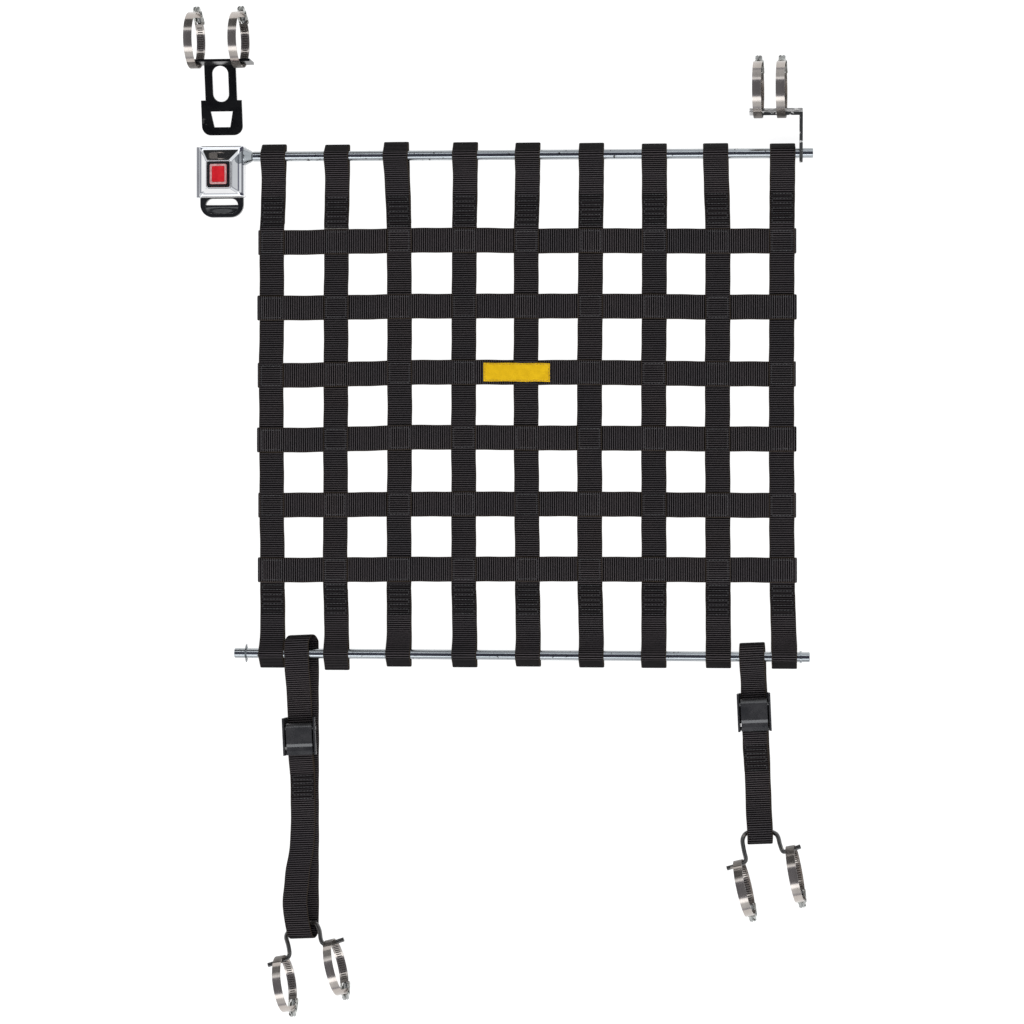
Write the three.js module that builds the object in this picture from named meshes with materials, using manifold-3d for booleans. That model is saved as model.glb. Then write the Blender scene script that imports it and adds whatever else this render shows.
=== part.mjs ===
// Racing window net lying face up, with its two rods, push-button latch, loose tongue bracket,
// hinge bracket, two adjustable straps and eight hose clamps. Millimetres, +Z up.
// X runs along the rods, Y from the lower rod to the upper one, and Z = 0 is the surface below.

import * as THREE from 'three';
import { mergeVertices } from 'three/addons/utils/BufferGeometryUtils.js';
import Module from 'manifold-3d';

const wasm = await Module();
wasm.setup();

// Driving dimensions
const webbing = { width: 25, thickness: 1.5 };
const gap = 0.3;
const layerPitch = webbing.thickness + gap;
const rod = { radius: 5, height: 10 };
const topRod = { left: { x: -246.2, y: 356.5 }, right: { x: 313.4, y: 354.0 } };
const bottomRod = { left: { x: -264.8, y: -142.2 }, right: { x: 310.1, y: -143.9 } };
const crossingHalf = 13.4;
const besideLap = 12.6;
const strapOnRod = rod.radius + gap + webbing.thickness / 2;
const clamp = { outer: 28, band: 0.9, width: 8.6 };
const latch = { x: -278.2, y: 342, width: 46, length: 51, height: 20 };
const degree = Math.PI / 180;

// Where each vertical strap lies at its two loops and at net rows 1 and 6,
// and how far its loops reach past the upper rod (over) and the lower one (under)
const columns = [
  { top: -225.6, row1: -228.1, middle: -228.8, row6: -227.8, bottom: -227.4, over: 13.1, under: 15.0 },
  { top: -161.4, row1: -163.0, middle: -163.6, row6: -164.1, bottom: -161.9, over: 12.5, under: 16.9 },
  { top: -101.9, row1: -99.3, middle: -98.9, row6: -99.6, bottom: -99.2, over: 14.8, under: 13.0 },
  { top: -32.3, row1: -33.7, middle: -34.5, row6: -34.3, bottom: -32.9, over: 14.1, under: 13.2 },
  { top: 30.4, row1: 28.5, middle: 28.2, row6: 29.5, bottom: 30.8, over: 13.3, under: 12.0 },
  { top: 94.0, row1: 92.9, middle: 91.7, row6: 92.0, bottom: 94.0, over: 12.6, under: 12.4 },
  { top: 156.5, row1: 156.5, middle: 155.7, row6: 156.0, bottom: 156.0, over: 11.5, under: 12.4 },
  { top: 217.3, row1: 219.5, middle: 219.0, row6: 219.5, bottom: 220.0, over: 11.4, under: 12.1 },
  { top: 283.4, row1: 282.8, middle: 282.3, row6: 282.8, bottom: 285.1, over: 10.8, under: 12.3 },
];

// Height of each cross strap in the net, at four places from left to right
const rows = [
  { left: 270.6, innerLeft: 271.8, innerRight: 270.1, right: 268.3 },
  { left: 204.7, innerLeft: 205.7, innerRight: 205.0, right: 202.8 },
  { left: 137.0, innerLeft: 139.5, innerRight: 138.8, right: 136.4 },
  { left: 71.9, innerLeft: 74.4, innerRight: 73.3, right: 71.9 },
  { left: 6.5, innerLeft: 7.5, innerRight: 7.5, right: 6.1 },
  { left: -58.8, innerLeft: -57.8, innerRight: -57.4, right: -58.0 },
];
const rowStations = { left: -206, innerLeft: -68, innerRight: 70, right: 264 };
const columnStations = { top: 356, row1: 271, middle: 106, row6: -58, bottom: -143 };

const finish = {
  webbing: { color: 0x1b1b1c, roughness: 0.85, metalness: 0 },
  zinc: { color: 0xc3c9cc, roughness: 0.3, metalness: 0.9 },
  chrome: { color: 0xd8dadc, roughness: 0.12, metalness: 1 },
  stainless: { color: 0xa9a099, roughness: 0.35, metalness: 0.9 },
  blackSteel: { color: 0x111112, roughness: 0.4, metalness: 0.2 },
  blackPlastic: { color: 0x0c0c0d, roughness: 0.35, metalness: 0 },
  red: { color: 0xb5141c, roughness: 0.4, metalness: 0 },
  yellow: { color: 0xe8c617, roughness: 0.7, metalness: 0 },
};
const materials = Object.fromEntries(
  Object.entries(finish).map(([name, values]) => [name, new THREE.MeshStandardMaterial(values)]));

const net = new THREE.Group();

function add(name, geometry, material, parent = net) {
  const mesh = new THREE.Mesh(geometry, material);
  mesh.name = name;
  parent.add(mesh);
  return mesh;
}

// Solids are joined and cut as closed meshes
function toSolid(geometry) {
  const bare = geometry.clone();
  bare.deleteAttribute('normal');
  bare.deleteAttribute('uv');
  const welded = mergeVertices(bare, 1e-4);
  const vertProperties = new Float32Array(welded.attributes.position.array);
  const triVerts = new Uint32Array(welded.index.array);
  return new wasm.Manifold(new wasm.Mesh({ numProp: 3, vertProperties, triVerts }));
}

function toGeometry(solid) {
  const mesh = solid.getMesh();
  const geometry = new THREE.BufferGeometry();
  geometry.setAttribute('position', new THREE.BufferAttribute(new Float32Array(mesh.vertProperties), 3));
  geometry.setIndex(new THREE.BufferAttribute(new Uint32Array(mesh.triVerts), 1));
  geometry.computeVertexNormals();
  return geometry;
}

const join = (...parts) => toGeometry(parts.map(toSolid).reduce((whole, part) => whole.add(part)));
const cut = (body, ...tools) => toGeometry(
  tools.map(toSolid).reduce((rest, tool) => rest.subtract(tool), toSolid(body)));

const layer = (level) => webbing.thickness / 2 + level * layerPitch;
const smooth = (u) => u * u * (3 - 2 * u);

// Value at a place along a short list of known places, eased from one to the next
function eased(known, place) {
  if (place <= known[0].at) return known[0].value;
  const next = known.findIndex((item) => item.at >= place);
  if (next < 0) return known[known.length - 1].value;
  const [a, b] = [known[next - 1], known[next]];
  return a.value + (b.value - a.value) * smooth((place - a.at) / (b.at - a.at));
}

function drift(row, stations, place) {
  const known = Object.keys(stations).map((name) => ({ at: stations[name], value: row[name] }));
  known.sort((a, b) => a.at - b.at);
  return eased(known, place);
}
const columnX = (column, y) => drift(column, columnStations, y);
const rowY = (row, x) => drift(row, rowStations, x);

// A strap of webbing bent along its path: a long box whose cross sections sit square to the route.
// Each corner is mitred, so straight runs keep flat faces.
function ribbon(path, across, width = webbing.width, thickness = webbing.thickness) {
  const steps = path.length - 1;
  const sides = path.slice(1).map((point, i) => point.clone().sub(path[i]).cross(across).normalize());
  const stations = path.map((point, i) => {
    const before = sides[Math.max(i - 1, 0)];
    const after = sides[Math.min(i, steps - 1)];
    const up = before.clone().add(after).normalize();
    return { point, up: up.divideScalar(up.dot(after)) };
  });
  const geometry = new THREE.BoxGeometry(width, thickness, 1, 1, 1, steps);
  const position = geometry.attributes.position;
  for (let i = 0; i < position.count; i += 1) {
    const station = stations[Math.round((position.getZ(i) + 0.5) * steps)];
    const corner = station.point.clone()
      .addScaledVector(across, position.getX(i))
      .addScaledVector(station.up, position.getY(i));
    position.setXYZ(i, corner.x, corner.y, corner.z);
  }
  geometry.computeVertexNormals();
  return geometry;
}

// Path pieces as { u, z }, where u is the distance along the strap's own direction
function arc(u, z, radius, from, to, steps) {
  return Array.from({ length: steps + 1 }, (unused, i) => {
    const angle = (from + ((to - from) * i) / steps) * degree;
    return { u: u + radius * Math.cos(angle), z: z + radius * Math.sin(angle) };
  });
}

function ramp(from, to, steps) {
  return Array.from({ length: steps + 1 }, (unused, i) => {
    const u = i / steps;
    return { u: from.u + (to.u - from.u) * u, z: from.z + (to.z - from.z) * smooth(u) };
  });
}

// End loop of a vertical strap, from its cut end at the back, round the rod, to the front layer.
// It is measured outward from the rod's axis.
const loop = { foldRadius: 2.45, leave: 35, settle: 36, lap: 66.7, lowerLap: 64.2, fall: 12 };

function endLoop(reach, lap) {
  const foldU = reach - webbing.thickness / 2 - loop.foldRadius;
  const foldZ = layer(0) + loop.foldRadius;
  const drop = foldZ - rod.height;
  const between = Math.hypot(foldU, drop);
  const lean = Math.asin((strapOnRod - loop.foldRadius) / between) - Math.atan2(drop, foldU);
  const tangent = 90 - lean / degree;
  const over = arc(0, rod.height, strapOnRod, tangent, 90 + loop.leave, 4);
  const last = over[over.length - 1];
  const direction = new THREE.Vector2(-Math.cos(loop.leave * degree), -Math.sin(loop.leave * degree));
  const fall = new THREE.CubicBezierCurve(
    new THREE.Vector2(last.u, last.z),
    new THREE.Vector2(last.u, last.z).addScaledVector(direction, loop.fall),
    new THREE.Vector2(-loop.settle + loop.fall, layer(1)),
    new THREE.Vector2(-loop.settle, layer(1)));
  const fallPoints = fall.getPoints(5).slice(1).map((point) => ({ u: point.x, z: point.y }));
  return [
    { u: -lap, z: layer(0) },
    ...arc(foldU, foldZ, loop.foldRadius, -90, tangent, 5),
    ...over,
    ...fallPoints,
    { u: -lap, z: layer(1) },
  ];
}

const verticalOnTop = (column, row) => (column + row) % 2 === 0;
const outerColumn = (column) => column === 0 || column === columns.length - 1;
const overTurnedEnd = (column) => (outerColumn(column) ? 1 : 0);
const verticalLevel = (column, row) => overTurnedEnd(column) + (verticalOnTop(column, row) ? 1 : 0);
const crossLevel = (column, row) => overTurnedEnd(column) + (verticalOnTop(column, row) ? 0 : 1);

function rodY(ends, x) {
  const share = (x - ends.left.x) / (ends.right.x - ends.left.x);
  return ends.left.y + (ends.right.y - ends.left.y) * share;
}

function verticalStrap(column, index) {
  const top = rodY(topRod, column.top);
  const bottom = rodY(bottomRod, column.bottom);
  const path = endLoop(column.over, loop.lap).map(({ u, z }) => ({ u: top + u, z }));
  let last = path[path.length - 1];
  rows.forEach((row, rowIndex) => {
    const centre = rowY(row, columnX(column, rowY(row, column.middle)));
    const z = layer(verticalLevel(index, rowIndex));
    const before = rowIndex === 0 ? besideLap : crossingHalf;
    const after = rowIndex === rows.length - 1 ? besideLap : crossingHalf;
    path.push(...ramp(last, { u: centre + before, z }, rowIndex === 0 ? 2 : 3).slice(1));
    last = { u: centre - after, z };
    path.push(last);
  });
  const lower = endLoop(column.under, loop.lowerLap).map(({ u, z }) => ({ u: bottom - u, z }));
  lower.reverse();
  path.push(...ramp(last, lower[0], 2).slice(1), ...lower.slice(1));
  const points = path.map(({ u, z }) => new THREE.Vector3(columnX(column, u), u, z));
  return ribbon(points, new THREE.Vector3(1, 0, 0));
}

// A cross strap's end turns round the outer vertical strap to its back
const turnedLength = 23.5;

function turnedEnd(edge, side, level) {
  const radius = (layer(level) - layer(0)) / 2;
  const centre = edge + (level === 1 ? side * gap : 0);
  const half = arc(0, layer(0) + radius, radius, -90, 90, 4);
  const turn = half.map(({ u, z }) => ({ u: centre + side * u, z }));
  return [{ u: edge - side * turnedLength, z: layer(0) }, ...turn];
}

function crossStrap(row, rowIndex) {
  const first = columnX(columns[0], row.left);
  const final = columnX(columns[columns.length - 1], row.right);
  const path = turnedEnd(first - webbing.width / 2, -1, crossLevel(0, rowIndex));
  let last = path[path.length - 1];
  columns.forEach((column, index) => {
    const centre = columnX(column, rowY(row, column.middle));
    const z = layer(crossLevel(index, rowIndex));
    if (index > 0) {
      path.push(...ramp(last, { u: centre - crossingHalf, z }, 3).slice(1));
    }
    if (index < columns.length - 1) {
      last = { u: centre + crossingHalf, z };
      path.push(last);
    }
  });
  const end = turnedEnd(final + webbing.width / 2, 1, crossLevel(columns.length - 1, rowIndex));
  end.reverse();
  path.push(...end);
  const points = path.map(({ u, z }) => new THREE.Vector3(u, rowY(row, u), z));
  return ribbon(points, new THREE.Vector3(0, 1, 0));
}

columns.forEach((column, index) => {
  add(`vertical-strap-${index + 1}`, verticalStrap(column, index), materials.webbing);
});
rows.forEach((row, index) => {
  add(`cross-strap-${index + 1}`, crossStrap(row, index), materials.webbing);
});

// Woven label sewn over the middle crossing of the third row
const label = { x: 19, width: 18.5, length: 66.5, thickness: 1, slant: 0.45, droop: 0.12, bend: 2 };

function labelPatch() {
  const strap = columnX(columns[4], rows[2].innerRight);
  const y = rowY(rows[2], label.x);
  const middle = layer(1) + webbing.thickness / 2 + gap + label.thickness / 2;
  const half = label.length / 2;
  const stations = [
    { x: label.x - half, y: y + label.slant, z: middle - label.droop },
    { x: strap - webbing.width / 2 - label.bend, y, z: middle },
    { x: strap + webbing.width / 2 + label.bend, y, z: middle },
    { x: label.x + half, y: y - label.slant, z: middle - label.droop },
  ];
  const points = stations.map(({ x, y: across, z }) => new THREE.Vector3(x, across, z));
  return ribbon(points, new THREE.Vector3(0, 1, 0), label.width, label.thickness);
}
add('label', labelPatch(), materials.yellow);

// Round bar with small end chamfers, from one end to the other
function bar(ends, radius) {
  const from = new THREE.Vector3(ends.left.x, ends.left.y, rod.height);
  const to = new THREE.Vector3(ends.right.x, ends.right.y, rod.height);
  const length = from.distanceTo(to);
  const chamfer = 0.8;
  const profile = [
    [0, 0],
    [radius - chamfer, 0],
    [radius, chamfer],
    [radius, length - chamfer],
    [radius - chamfer, length],
    [0, length],
  ].map(([r, h]) => new THREE.Vector2(r, h));
  const geometry = new THREE.LatheGeometry(profile, 20);
  const direction = to.clone().sub(from).normalize();
  const turn = new THREE.Quaternion().setFromUnitVectors(new THREE.Vector3(0, 1, 0), direction);
  geometry.applyQuaternion(turn);
  geometry.translate(from.x, from.y, from.z);
  return geometry;
}
add('top-rod', bar(topRod, rod.radius), materials.zinc);
add('bottom-rod', bar(bottomRod, rod.radius), materials.zinc);

// Collar round the lower rod: a closed ring profile turned about the rod's axis
function collar({ x, outer, thickness, dish }, segments) {
  const inner = rod.radius + gap;
  const profile = [
    [inner, 0],
    [outer, dish],
    [outer, dish + thickness],
    [inner, thickness],
    [inner, 0],
  ].map(([r, h]) => new THREE.Vector2(r, h));
  const geometry = new THREE.LatheGeometry(profile, segments);
  geometry.rotateZ(-90 * degree);
  geometry.translate(x, rodY(bottomRod, x), rod.height);
  return geometry;
}
add('star-washer', collar({ x: -254.2, outer: 9.4, thickness: 0.8, dish: 1.2 }, 24), materials.zinc);
add('end-ring', collar({ x: 300.2, outer: 6.1, thickness: 2, dish: 0 }, 20), materials.zinc);

// Weld between the upper rod and the latch
const weldRadius = 9.3;

function weld() {
  const edge = latch.x + latch.width / 2;
  const length = topRod.left.x - edge - 2 * gap;
  const geometry = new THREE.CylinderGeometry(rod.radius, weldRadius, length, 12);
  geometry.rotateZ(-90 * degree);
  geometry.translate(edge + gap + length / 2, topRod.left.y, rod.height);
  return geometry;
}
add('rod-weld', weld(), materials.zinc);

function roundedRectangle(width, height, radius) {
  const shape = new THREE.Shape();
  const [x, y] = [width / 2, height / 2];
  shape.moveTo(-x + radius, -y);
  shape.lineTo(x - radius, -y);
  shape.absarc(x - radius, -y + radius, radius, -Math.PI / 2, 0);
  shape.lineTo(x, y - radius);
  shape.absarc(x - radius, y - radius, radius, 0, Math.PI / 2);
  shape.lineTo(-x + radius, y);
  shape.absarc(-x + radius, y - radius, radius, Math.PI / 2, Math.PI);
  shape.lineTo(-x, -y + radius);
  shape.absarc(-x + radius, -y + radius, radius, Math.PI, 1.5 * Math.PI);
  return shape;
}

// Pressed steel cover of the latch: a raised pillow with a pocket for the button
// and a flat slot in its upper end for the tongue
const button = { x: -279.8, y: 338.2, width: 17, length: 20.2, rim: 2, travel: 3, proud: 0.4, dish: 0.6 };
const coverLevels = [
  { z: 2.3, inset: 0.6 },
  { z: 3.2, inset: 0 },
  { z: 12, inset: 0 },
  { z: 14.5, inset: 1.2 },
  { z: 18.2, inset: 7 },
  { z: 20, inset: 10.2 },
];
const surround = { width: 21.6, length: 24.4, floor: 9.8, recess: 0.4 };
const tongueSlot = { width: 43, height: 4.6, depth: 30, floor: 3.6 };
const latchPlate = { thickness: 2, lip: 4.4, border: 0.3 };

function latchCover() {
  const outline = roundedRectangle(latch.width, latch.length, 3);
  const levels = coverLevels.length - 1;
  const options = { depth: 1, steps: levels, bevelEnabled: false, curveSegments: 3 };
  const pillow = new THREE.ExtrudeGeometry(outline, options);
  const position = pillow.attributes.position;
  for (let i = 0; i < position.count; i += 1) {
    const level = coverLevels[Math.round(position.getZ(i) * levels)];
    const x = position.getX(i) * (1 - (2 * level.inset) / latch.width);
    const y = position.getY(i) * (1 - (2 * level.inset) / latch.length);
    position.setXYZ(i, x + latch.x, y + latch.y, level.z);
  }
  const pocket = new THREE.BoxGeometry(surround.width + 2 * gap, surround.length + 2 * gap, latch.height);
  pocket.translate(button.x, button.y, surround.floor - gap + latch.height / 2);
  const slot = new THREE.BoxGeometry(tongueSlot.width, tongueSlot.depth, tongueSlot.height);
  const mouth = latch.y + latch.length / 2 + 1;
  slot.translate(latch.x, mouth - tongueSlot.depth / 2, tongueSlot.floor + tongueSlot.height / 2);
  return cut(pillow, pocket, slot);
}
add('latch-cover', latchCover(), materials.chrome);

function latchBase() {
  const width = latch.width + latchPlate.lip;
  const plate = new THREE.BoxGeometry(width, latch.length + 2 * latchPlate.border, latchPlate.thickness);
  plate.translate(latch.x - latchPlate.lip / 2, latch.y, latchPlate.thickness / 2);
  return plate;
}
add('latch-base', latchBase(), materials.chrome);

function framePlate(width, length, holeWidth, holeLength, radius, depth) {
  const shape = roundedRectangle(width, length, radius);
  const hole = roundedRectangle(holeWidth, holeLength, radius / 2);
  shape.holes.push(new THREE.Path(hole.getPoints(3).reverse()));
  return new THREE.ExtrudeGeometry(shape, { depth, bevelEnabled: false, curveSegments: 3 });
}

function latchSurround() {
  const depth = latch.height - surround.recess - surround.floor;
  const hole = { width: button.width + 2 * gap, length: button.length + 2 * gap };
  const geometry = framePlate(surround.width, surround.length, hole.width, hole.length, 2, depth);
  geometry.translate(button.x, button.y, surround.floor);
  return geometry;
}
add('latch-surround', latchSurround(), materials.blackPlastic);

function pushButton() {
  const bottom = surround.floor + button.travel + gap;
  const top = latch.height + button.proud;
  const outline = roundedRectangle(button.width, button.length, 1.5);
  const options = { depth: top - bottom, bevelEnabled: false, curveSegments: 3 };
  const body = new THREE.ExtrudeGeometry(outline, options);
  body.translate(button.x, button.y, bottom);
  const dish = new THREE.BoxGeometry(button.width - 2 * button.rim, button.length - 2 * button.rim, 2);
  dish.translate(button.x, button.y, top + 1 - button.dish);
  return cut(body, dish);
}
add('latch-button', pushButton(), materials.red);

// Black bail below the latch: a rounded loop with a slot for a strap
const bail = { x: -278.9, top: 315.9, bottom: 296.2, width: 44, thickness: 5, corner: 13, floor: 0.6 };
const bailSlot = { y: 307.6, width: 33, length: 15, radius: 7 };

function bailLoop() {
  const half = bail.width / 2;
  const shape = new THREE.Shape();
  shape.moveTo(half, bail.top);
  shape.lineTo(-half, bail.top);
  shape.lineTo(-half, bail.bottom + bail.corner);
  shape.absarc(-half + bail.corner, bail.bottom + bail.corner, bail.corner, Math.PI, 1.5 * Math.PI);
  shape.lineTo(half - bail.corner, bail.bottom);
  shape.absarc(half - bail.corner, bail.bottom + bail.corner, bail.corner, -Math.PI / 2, 0);
  const slot = roundedRectangle(bailSlot.width, bailSlot.length, bailSlot.radius).getPoints(5).reverse();
  shape.holes.push(new THREE.Path(slot.map((point) => point.add(new THREE.Vector2(0, bailSlot.y)))));
  const options = { depth: bail.thickness, bevelEnabled: false, curveSegments: 5 };
  const geometry = new THREE.ExtrudeGeometry(shape, options);
  geometry.translate(bail.x, 0, bail.floor);
  return geometry;
}
add('latch-bail', bailLoop(), materials.blackPlastic);

// Loose tongue bracket: an upright flange held in two clamps, and a slotted tongue
// that slopes down to the surface
const tongue = {
  x: -278.6, bend: 450.3, bendZ: 15.5, tip: 379.7, thickness: 2.6, shankWidth: 32,
  headWidth: 41.4, headTop: 413.9, corner: 9,
};
const flangePlate = { height: 25, left: -306, right: -244.3 };
const shankSlot = { width: 16.2, top: 447.4, bottom: 412.4 };
const catchWindow = { topWidth: 22.4, bottomWidth: 16.2, top: 403, bottom: 387.6 };

function tongueBracket() {
  const slope = Math.atan2(tongue.bendZ, tongue.bend - tongue.tip);
  const along = (y) => (y - tongue.bend) / Math.cos(slope);
  const [shank, head] = [tongue.shankWidth / 2, tongue.headWidth / 2];
  const plate = new THREE.Shape();
  plate.moveTo(shank, 0);
  plate.lineTo(-shank, 0);
  plate.lineTo(-shank, along(tongue.headTop));
  plate.lineTo(-head, along(tongue.headTop));
  const round = along(tongue.tip) + tongue.corner;
  plate.absarc(-head + tongue.corner, round, tongue.corner, Math.PI, 1.5 * Math.PI);
  plate.absarc(head - tongue.corner, round, tongue.corner, -Math.PI / 2, 0);
  plate.lineTo(head, along(tongue.headTop));
  plate.lineTo(shank, along(tongue.headTop));
  const slotLength = along(shankSlot.top) - along(shankSlot.bottom);
  const slotMiddle = (along(shankSlot.top) + along(shankSlot.bottom)) / 2;
  const slot = roundedRectangle(shankSlot.width, slotLength, shankSlot.width / 2 - 0.1).getPoints(6);
  const slotPoints = slot.map((point) => point.add(new THREE.Vector2(0, slotMiddle))).reverse();
  plate.holes.push(new THREE.Path(slotPoints));
  const catchHole = new THREE.Path();
  catchHole.moveTo(-catchWindow.topWidth / 2, along(catchWindow.top));
  catchHole.lineTo(catchWindow.topWidth / 2, along(catchWindow.top));
  catchHole.lineTo(catchWindow.bottomWidth / 2, along(catchWindow.bottom));
  catchHole.lineTo(-catchWindow.bottomWidth / 2, along(catchWindow.bottom));
  catchHole.closePath();
  plate.holes.push(catchHole);
  const options = { depth: tongue.thickness, bevelEnabled: false, curveSegments: 6 };
  const blade = new THREE.ExtrudeGeometry(plate, options);
  blade.rotateX(slope);
  blade.translate(tongue.x, tongue.bend, tongue.bendZ);
  const flangeLength = flangePlate.right - flangePlate.left;
  const flange = new THREE.BoxGeometry(flangeLength, tongue.thickness, flangePlate.height);
  flange.translate(
    flangePlate.left + flangeLength / 2,
    tongue.bend - tongue.thickness / 2,
    tongue.bendZ + flangePlate.height / 2);
  return join(blade, flange);
}
add('tongue-bracket', tongueBracket(), materials.blackSteel);

// Hose clamp standing on edge: a closed band and, on its lower side at the end away from
// the bracket, the screw's housing. The band leans a little and its plane is turned in plan.
const housing = { width: 9.6, length: 14, height: 7.2, below: 35 };
const screwHead = { radius: 4, length: 4.5, rise: 3.7 };

function clampBand() {
  const inner = clamp.outer - clamp.band;
  const half = clamp.width / 2;
  const profile = [
    [inner, -half],
    [clamp.outer, -half],
    [clamp.outer, half],
    [inner, half],
    [inner, -half],
  ].map(([r, h]) => new THREE.Vector2(r, h));
  const geometry = new THREE.LatheGeometry(profile, 36);
  geometry.rotateZ(-90 * degree);
  return geometry;
}

function clampHousing(screwEnd) {
  const base = clamp.outer + gap;
  const half = housing.width / 2;
  const round = housing.height - half;
  const section = new THREE.Shape();
  section.moveTo(-half, 0);
  section.lineTo(half, 0);
  section.lineTo(half, round);
  section.absarc(0, round, half, 0, Math.PI);
  section.lineTo(-half, 0);
  const options = { depth: housing.length, bevelEnabled: false, curveSegments: 6 };
  const shell = new THREE.ExtrudeGeometry(section, options);
  shell.rotateX(90 * degree);
  shell.translate(0, housing.length / 2, base);
  const head = new THREE.CylinderGeometry(screwHead.radius, screwHead.radius, screwHead.length + 1, 6);
  const headY = (housing.length + screwHead.length - 1) / 2;
  head.translate(0, -screwEnd * headY, base + screwHead.rise);
  const geometry = join(shell, head);
  geometry.rotateX(-screwEnd * (90 + housing.below) * degree);
  return geometry;
}

function clampHeight(lean) {
  return clamp.outer * Math.cos(lean * degree) + (clamp.width / 2) * Math.sin(lean * degree);
}

function hoseClamp(name, { x, y, plan, lean, screwEnd }) {
  const place = new THREE.Group();
  place.rotation.set(0, -lean * degree, plan * degree, 'ZYX');
  place.position.set(x, y, clampHeight(lean));
  add(`${name}-band`, clampBand(), materials.stainless, place);
  add(`${name}-screw`, clampHousing(screwEnd), materials.stainless, place);
  net.add(place);
}

// A flat flange or arm lies in its clamps as a chord, this far from their centre
const chordSeat = 23.3;
const tongueClamps = [
  { name: 'tongue-clamp-1', x: -302.4, lean: 3.2 },
  { name: 'tongue-clamp-2', x: -257.6, lean: 3.9 },
];
tongueClamps.forEach(({ name, x, lean }) => {
  const y = tongue.bend - tongue.thickness + chordSeat;
  hoseClamp(name, { x, y, plan: 0, lean, screwEnd: 1 });
});

// Hinge bracket: a strip bent square, with an eye on the upper rod's right end and an arm
// held in two clamps. It leans up from the rod until its clamps stand on the surface.
const hinge = { x: 301.5, thickness: 3.2, eye: 9.2, width: 25, shoulder: 24, reach: 41.4, armLeft: 250.8 };
const hingeLean = 3.4;
const hingeSpan = hinge.reach - hinge.thickness / 2 + chordSeat;
const hingeSwing = Math.asin((clampHeight(hingeLean) - rod.height) / hingeSpan);

function hingeBracket() {
  const half = hinge.width / 2;
  const inside = hinge.reach - hinge.thickness / 2;
  const side = new THREE.Shape();
  side.absarc(0, 0, hinge.eye, 0, -Math.PI, true);
  side.lineTo(-half, hinge.shoulder);
  side.lineTo(-half, inside + hinge.thickness);
  side.lineTo(half, inside + hinge.thickness);
  side.lineTo(half, hinge.shoulder);
  const hole = new THREE.Path();
  hole.absarc(0, 0, rod.radius + gap, 0, 2 * Math.PI, false);
  side.holes.push(hole);
  const options = { depth: hinge.thickness, bevelEnabled: false, curveSegments: 10 };
  const strip = new THREE.ExtrudeGeometry(side, options);
  strip.rotateY(90 * degree);
  strip.translate(-hinge.thickness / 2, 0, 0);
  const length = hinge.x + hinge.thickness / 2 - hinge.armLeft;
  const arm = new THREE.BoxGeometry(length, hinge.thickness, hinge.width);
  arm.translate(hinge.thickness / 2 - length / 2, hinge.reach, 0);
  const geometry = join(strip, arm);
  geometry.rotateX(hingeSwing);
  geometry.translate(hinge.x, rodY(topRod, hinge.x), rod.height);
  return geometry;
}
add('hinge-bracket', hingeBracket(), materials.blackSteel);

const hingeClamps = [
  { name: 'hinge-clamp-1', x: 259.4 },
  { name: 'hinge-clamp-2', x: 282.3 },
];
hingeClamps.forEach(({ name, x }) => {
  const y = rodY(topRod, hinge.x) + hingeSpan * Math.cos(hingeSwing);
  hoseClamp(name, { x, y, plan: 0, lean: hingeLean, screwEnd: 1 });
});

// Adjustable straps. Each is one length of webbing: sewn round the buckle's bar, down the front,
// round the bent wire, up the back, over the lower rod and down through the buckle to its free end.
const strapTurn = 2.5;
const cam = {
  length: 37.6, halfInside: 13.6, flare: 1.2, plate: 1.8, height: 17, base: 3.3, baseLength: 30,
  pivotY: -11.1, pivotZ: 11, roll: 5.5, pin: 1.9, barY: -35.1, barZ: 6.6, bar: 2, leverWidth: 26,
};
const underCam = cam.base + gap + webbing.thickness / 2;
const tensionStraps = [
  {
    name: 'left', buckle: { x: -199.5, y: -206.4 }, rodReach: 19, lapEnd: -289.9, tailEnd: -263.5,
    rise: -330, lifted: -405, fold: -428.6, foldRadius: 7.65,
    front: [
      { at: -425, value: -198.2 },
      { at: -394, value: -203.4 },
      { at: -369, value: -202.0 },
      { at: -330, value: -197.0 },
      { at: -280, value: -196.4 },
      { at: -206, value: -199.5 },
      { at: -132, value: -201.5 },
    ],
    back: [{ at: -420, value: -193.3 }, { at: -132, value: -193.3 }],
  },
  {
    name: 'right', buckle: { x: 254.6, y: -179.6 }, rodReach: 14.3, lapEnd: -258, tailEnd: -223.5,
    rise: -284, lifted: -312, fold: -329.6, foldRadius: 5.6,
    front: [
      { at: -328, value: 261.2 },
      { at: -276, value: 259.0 },
      { at: -226, value: 256.5 },
      { at: -181, value: 254.6 },
      { at: -132, value: 252.8 },
    ],
    back: [{ at: -323, value: 261.5 }, { at: -132, value: 254.0 }],
  },
];

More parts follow.
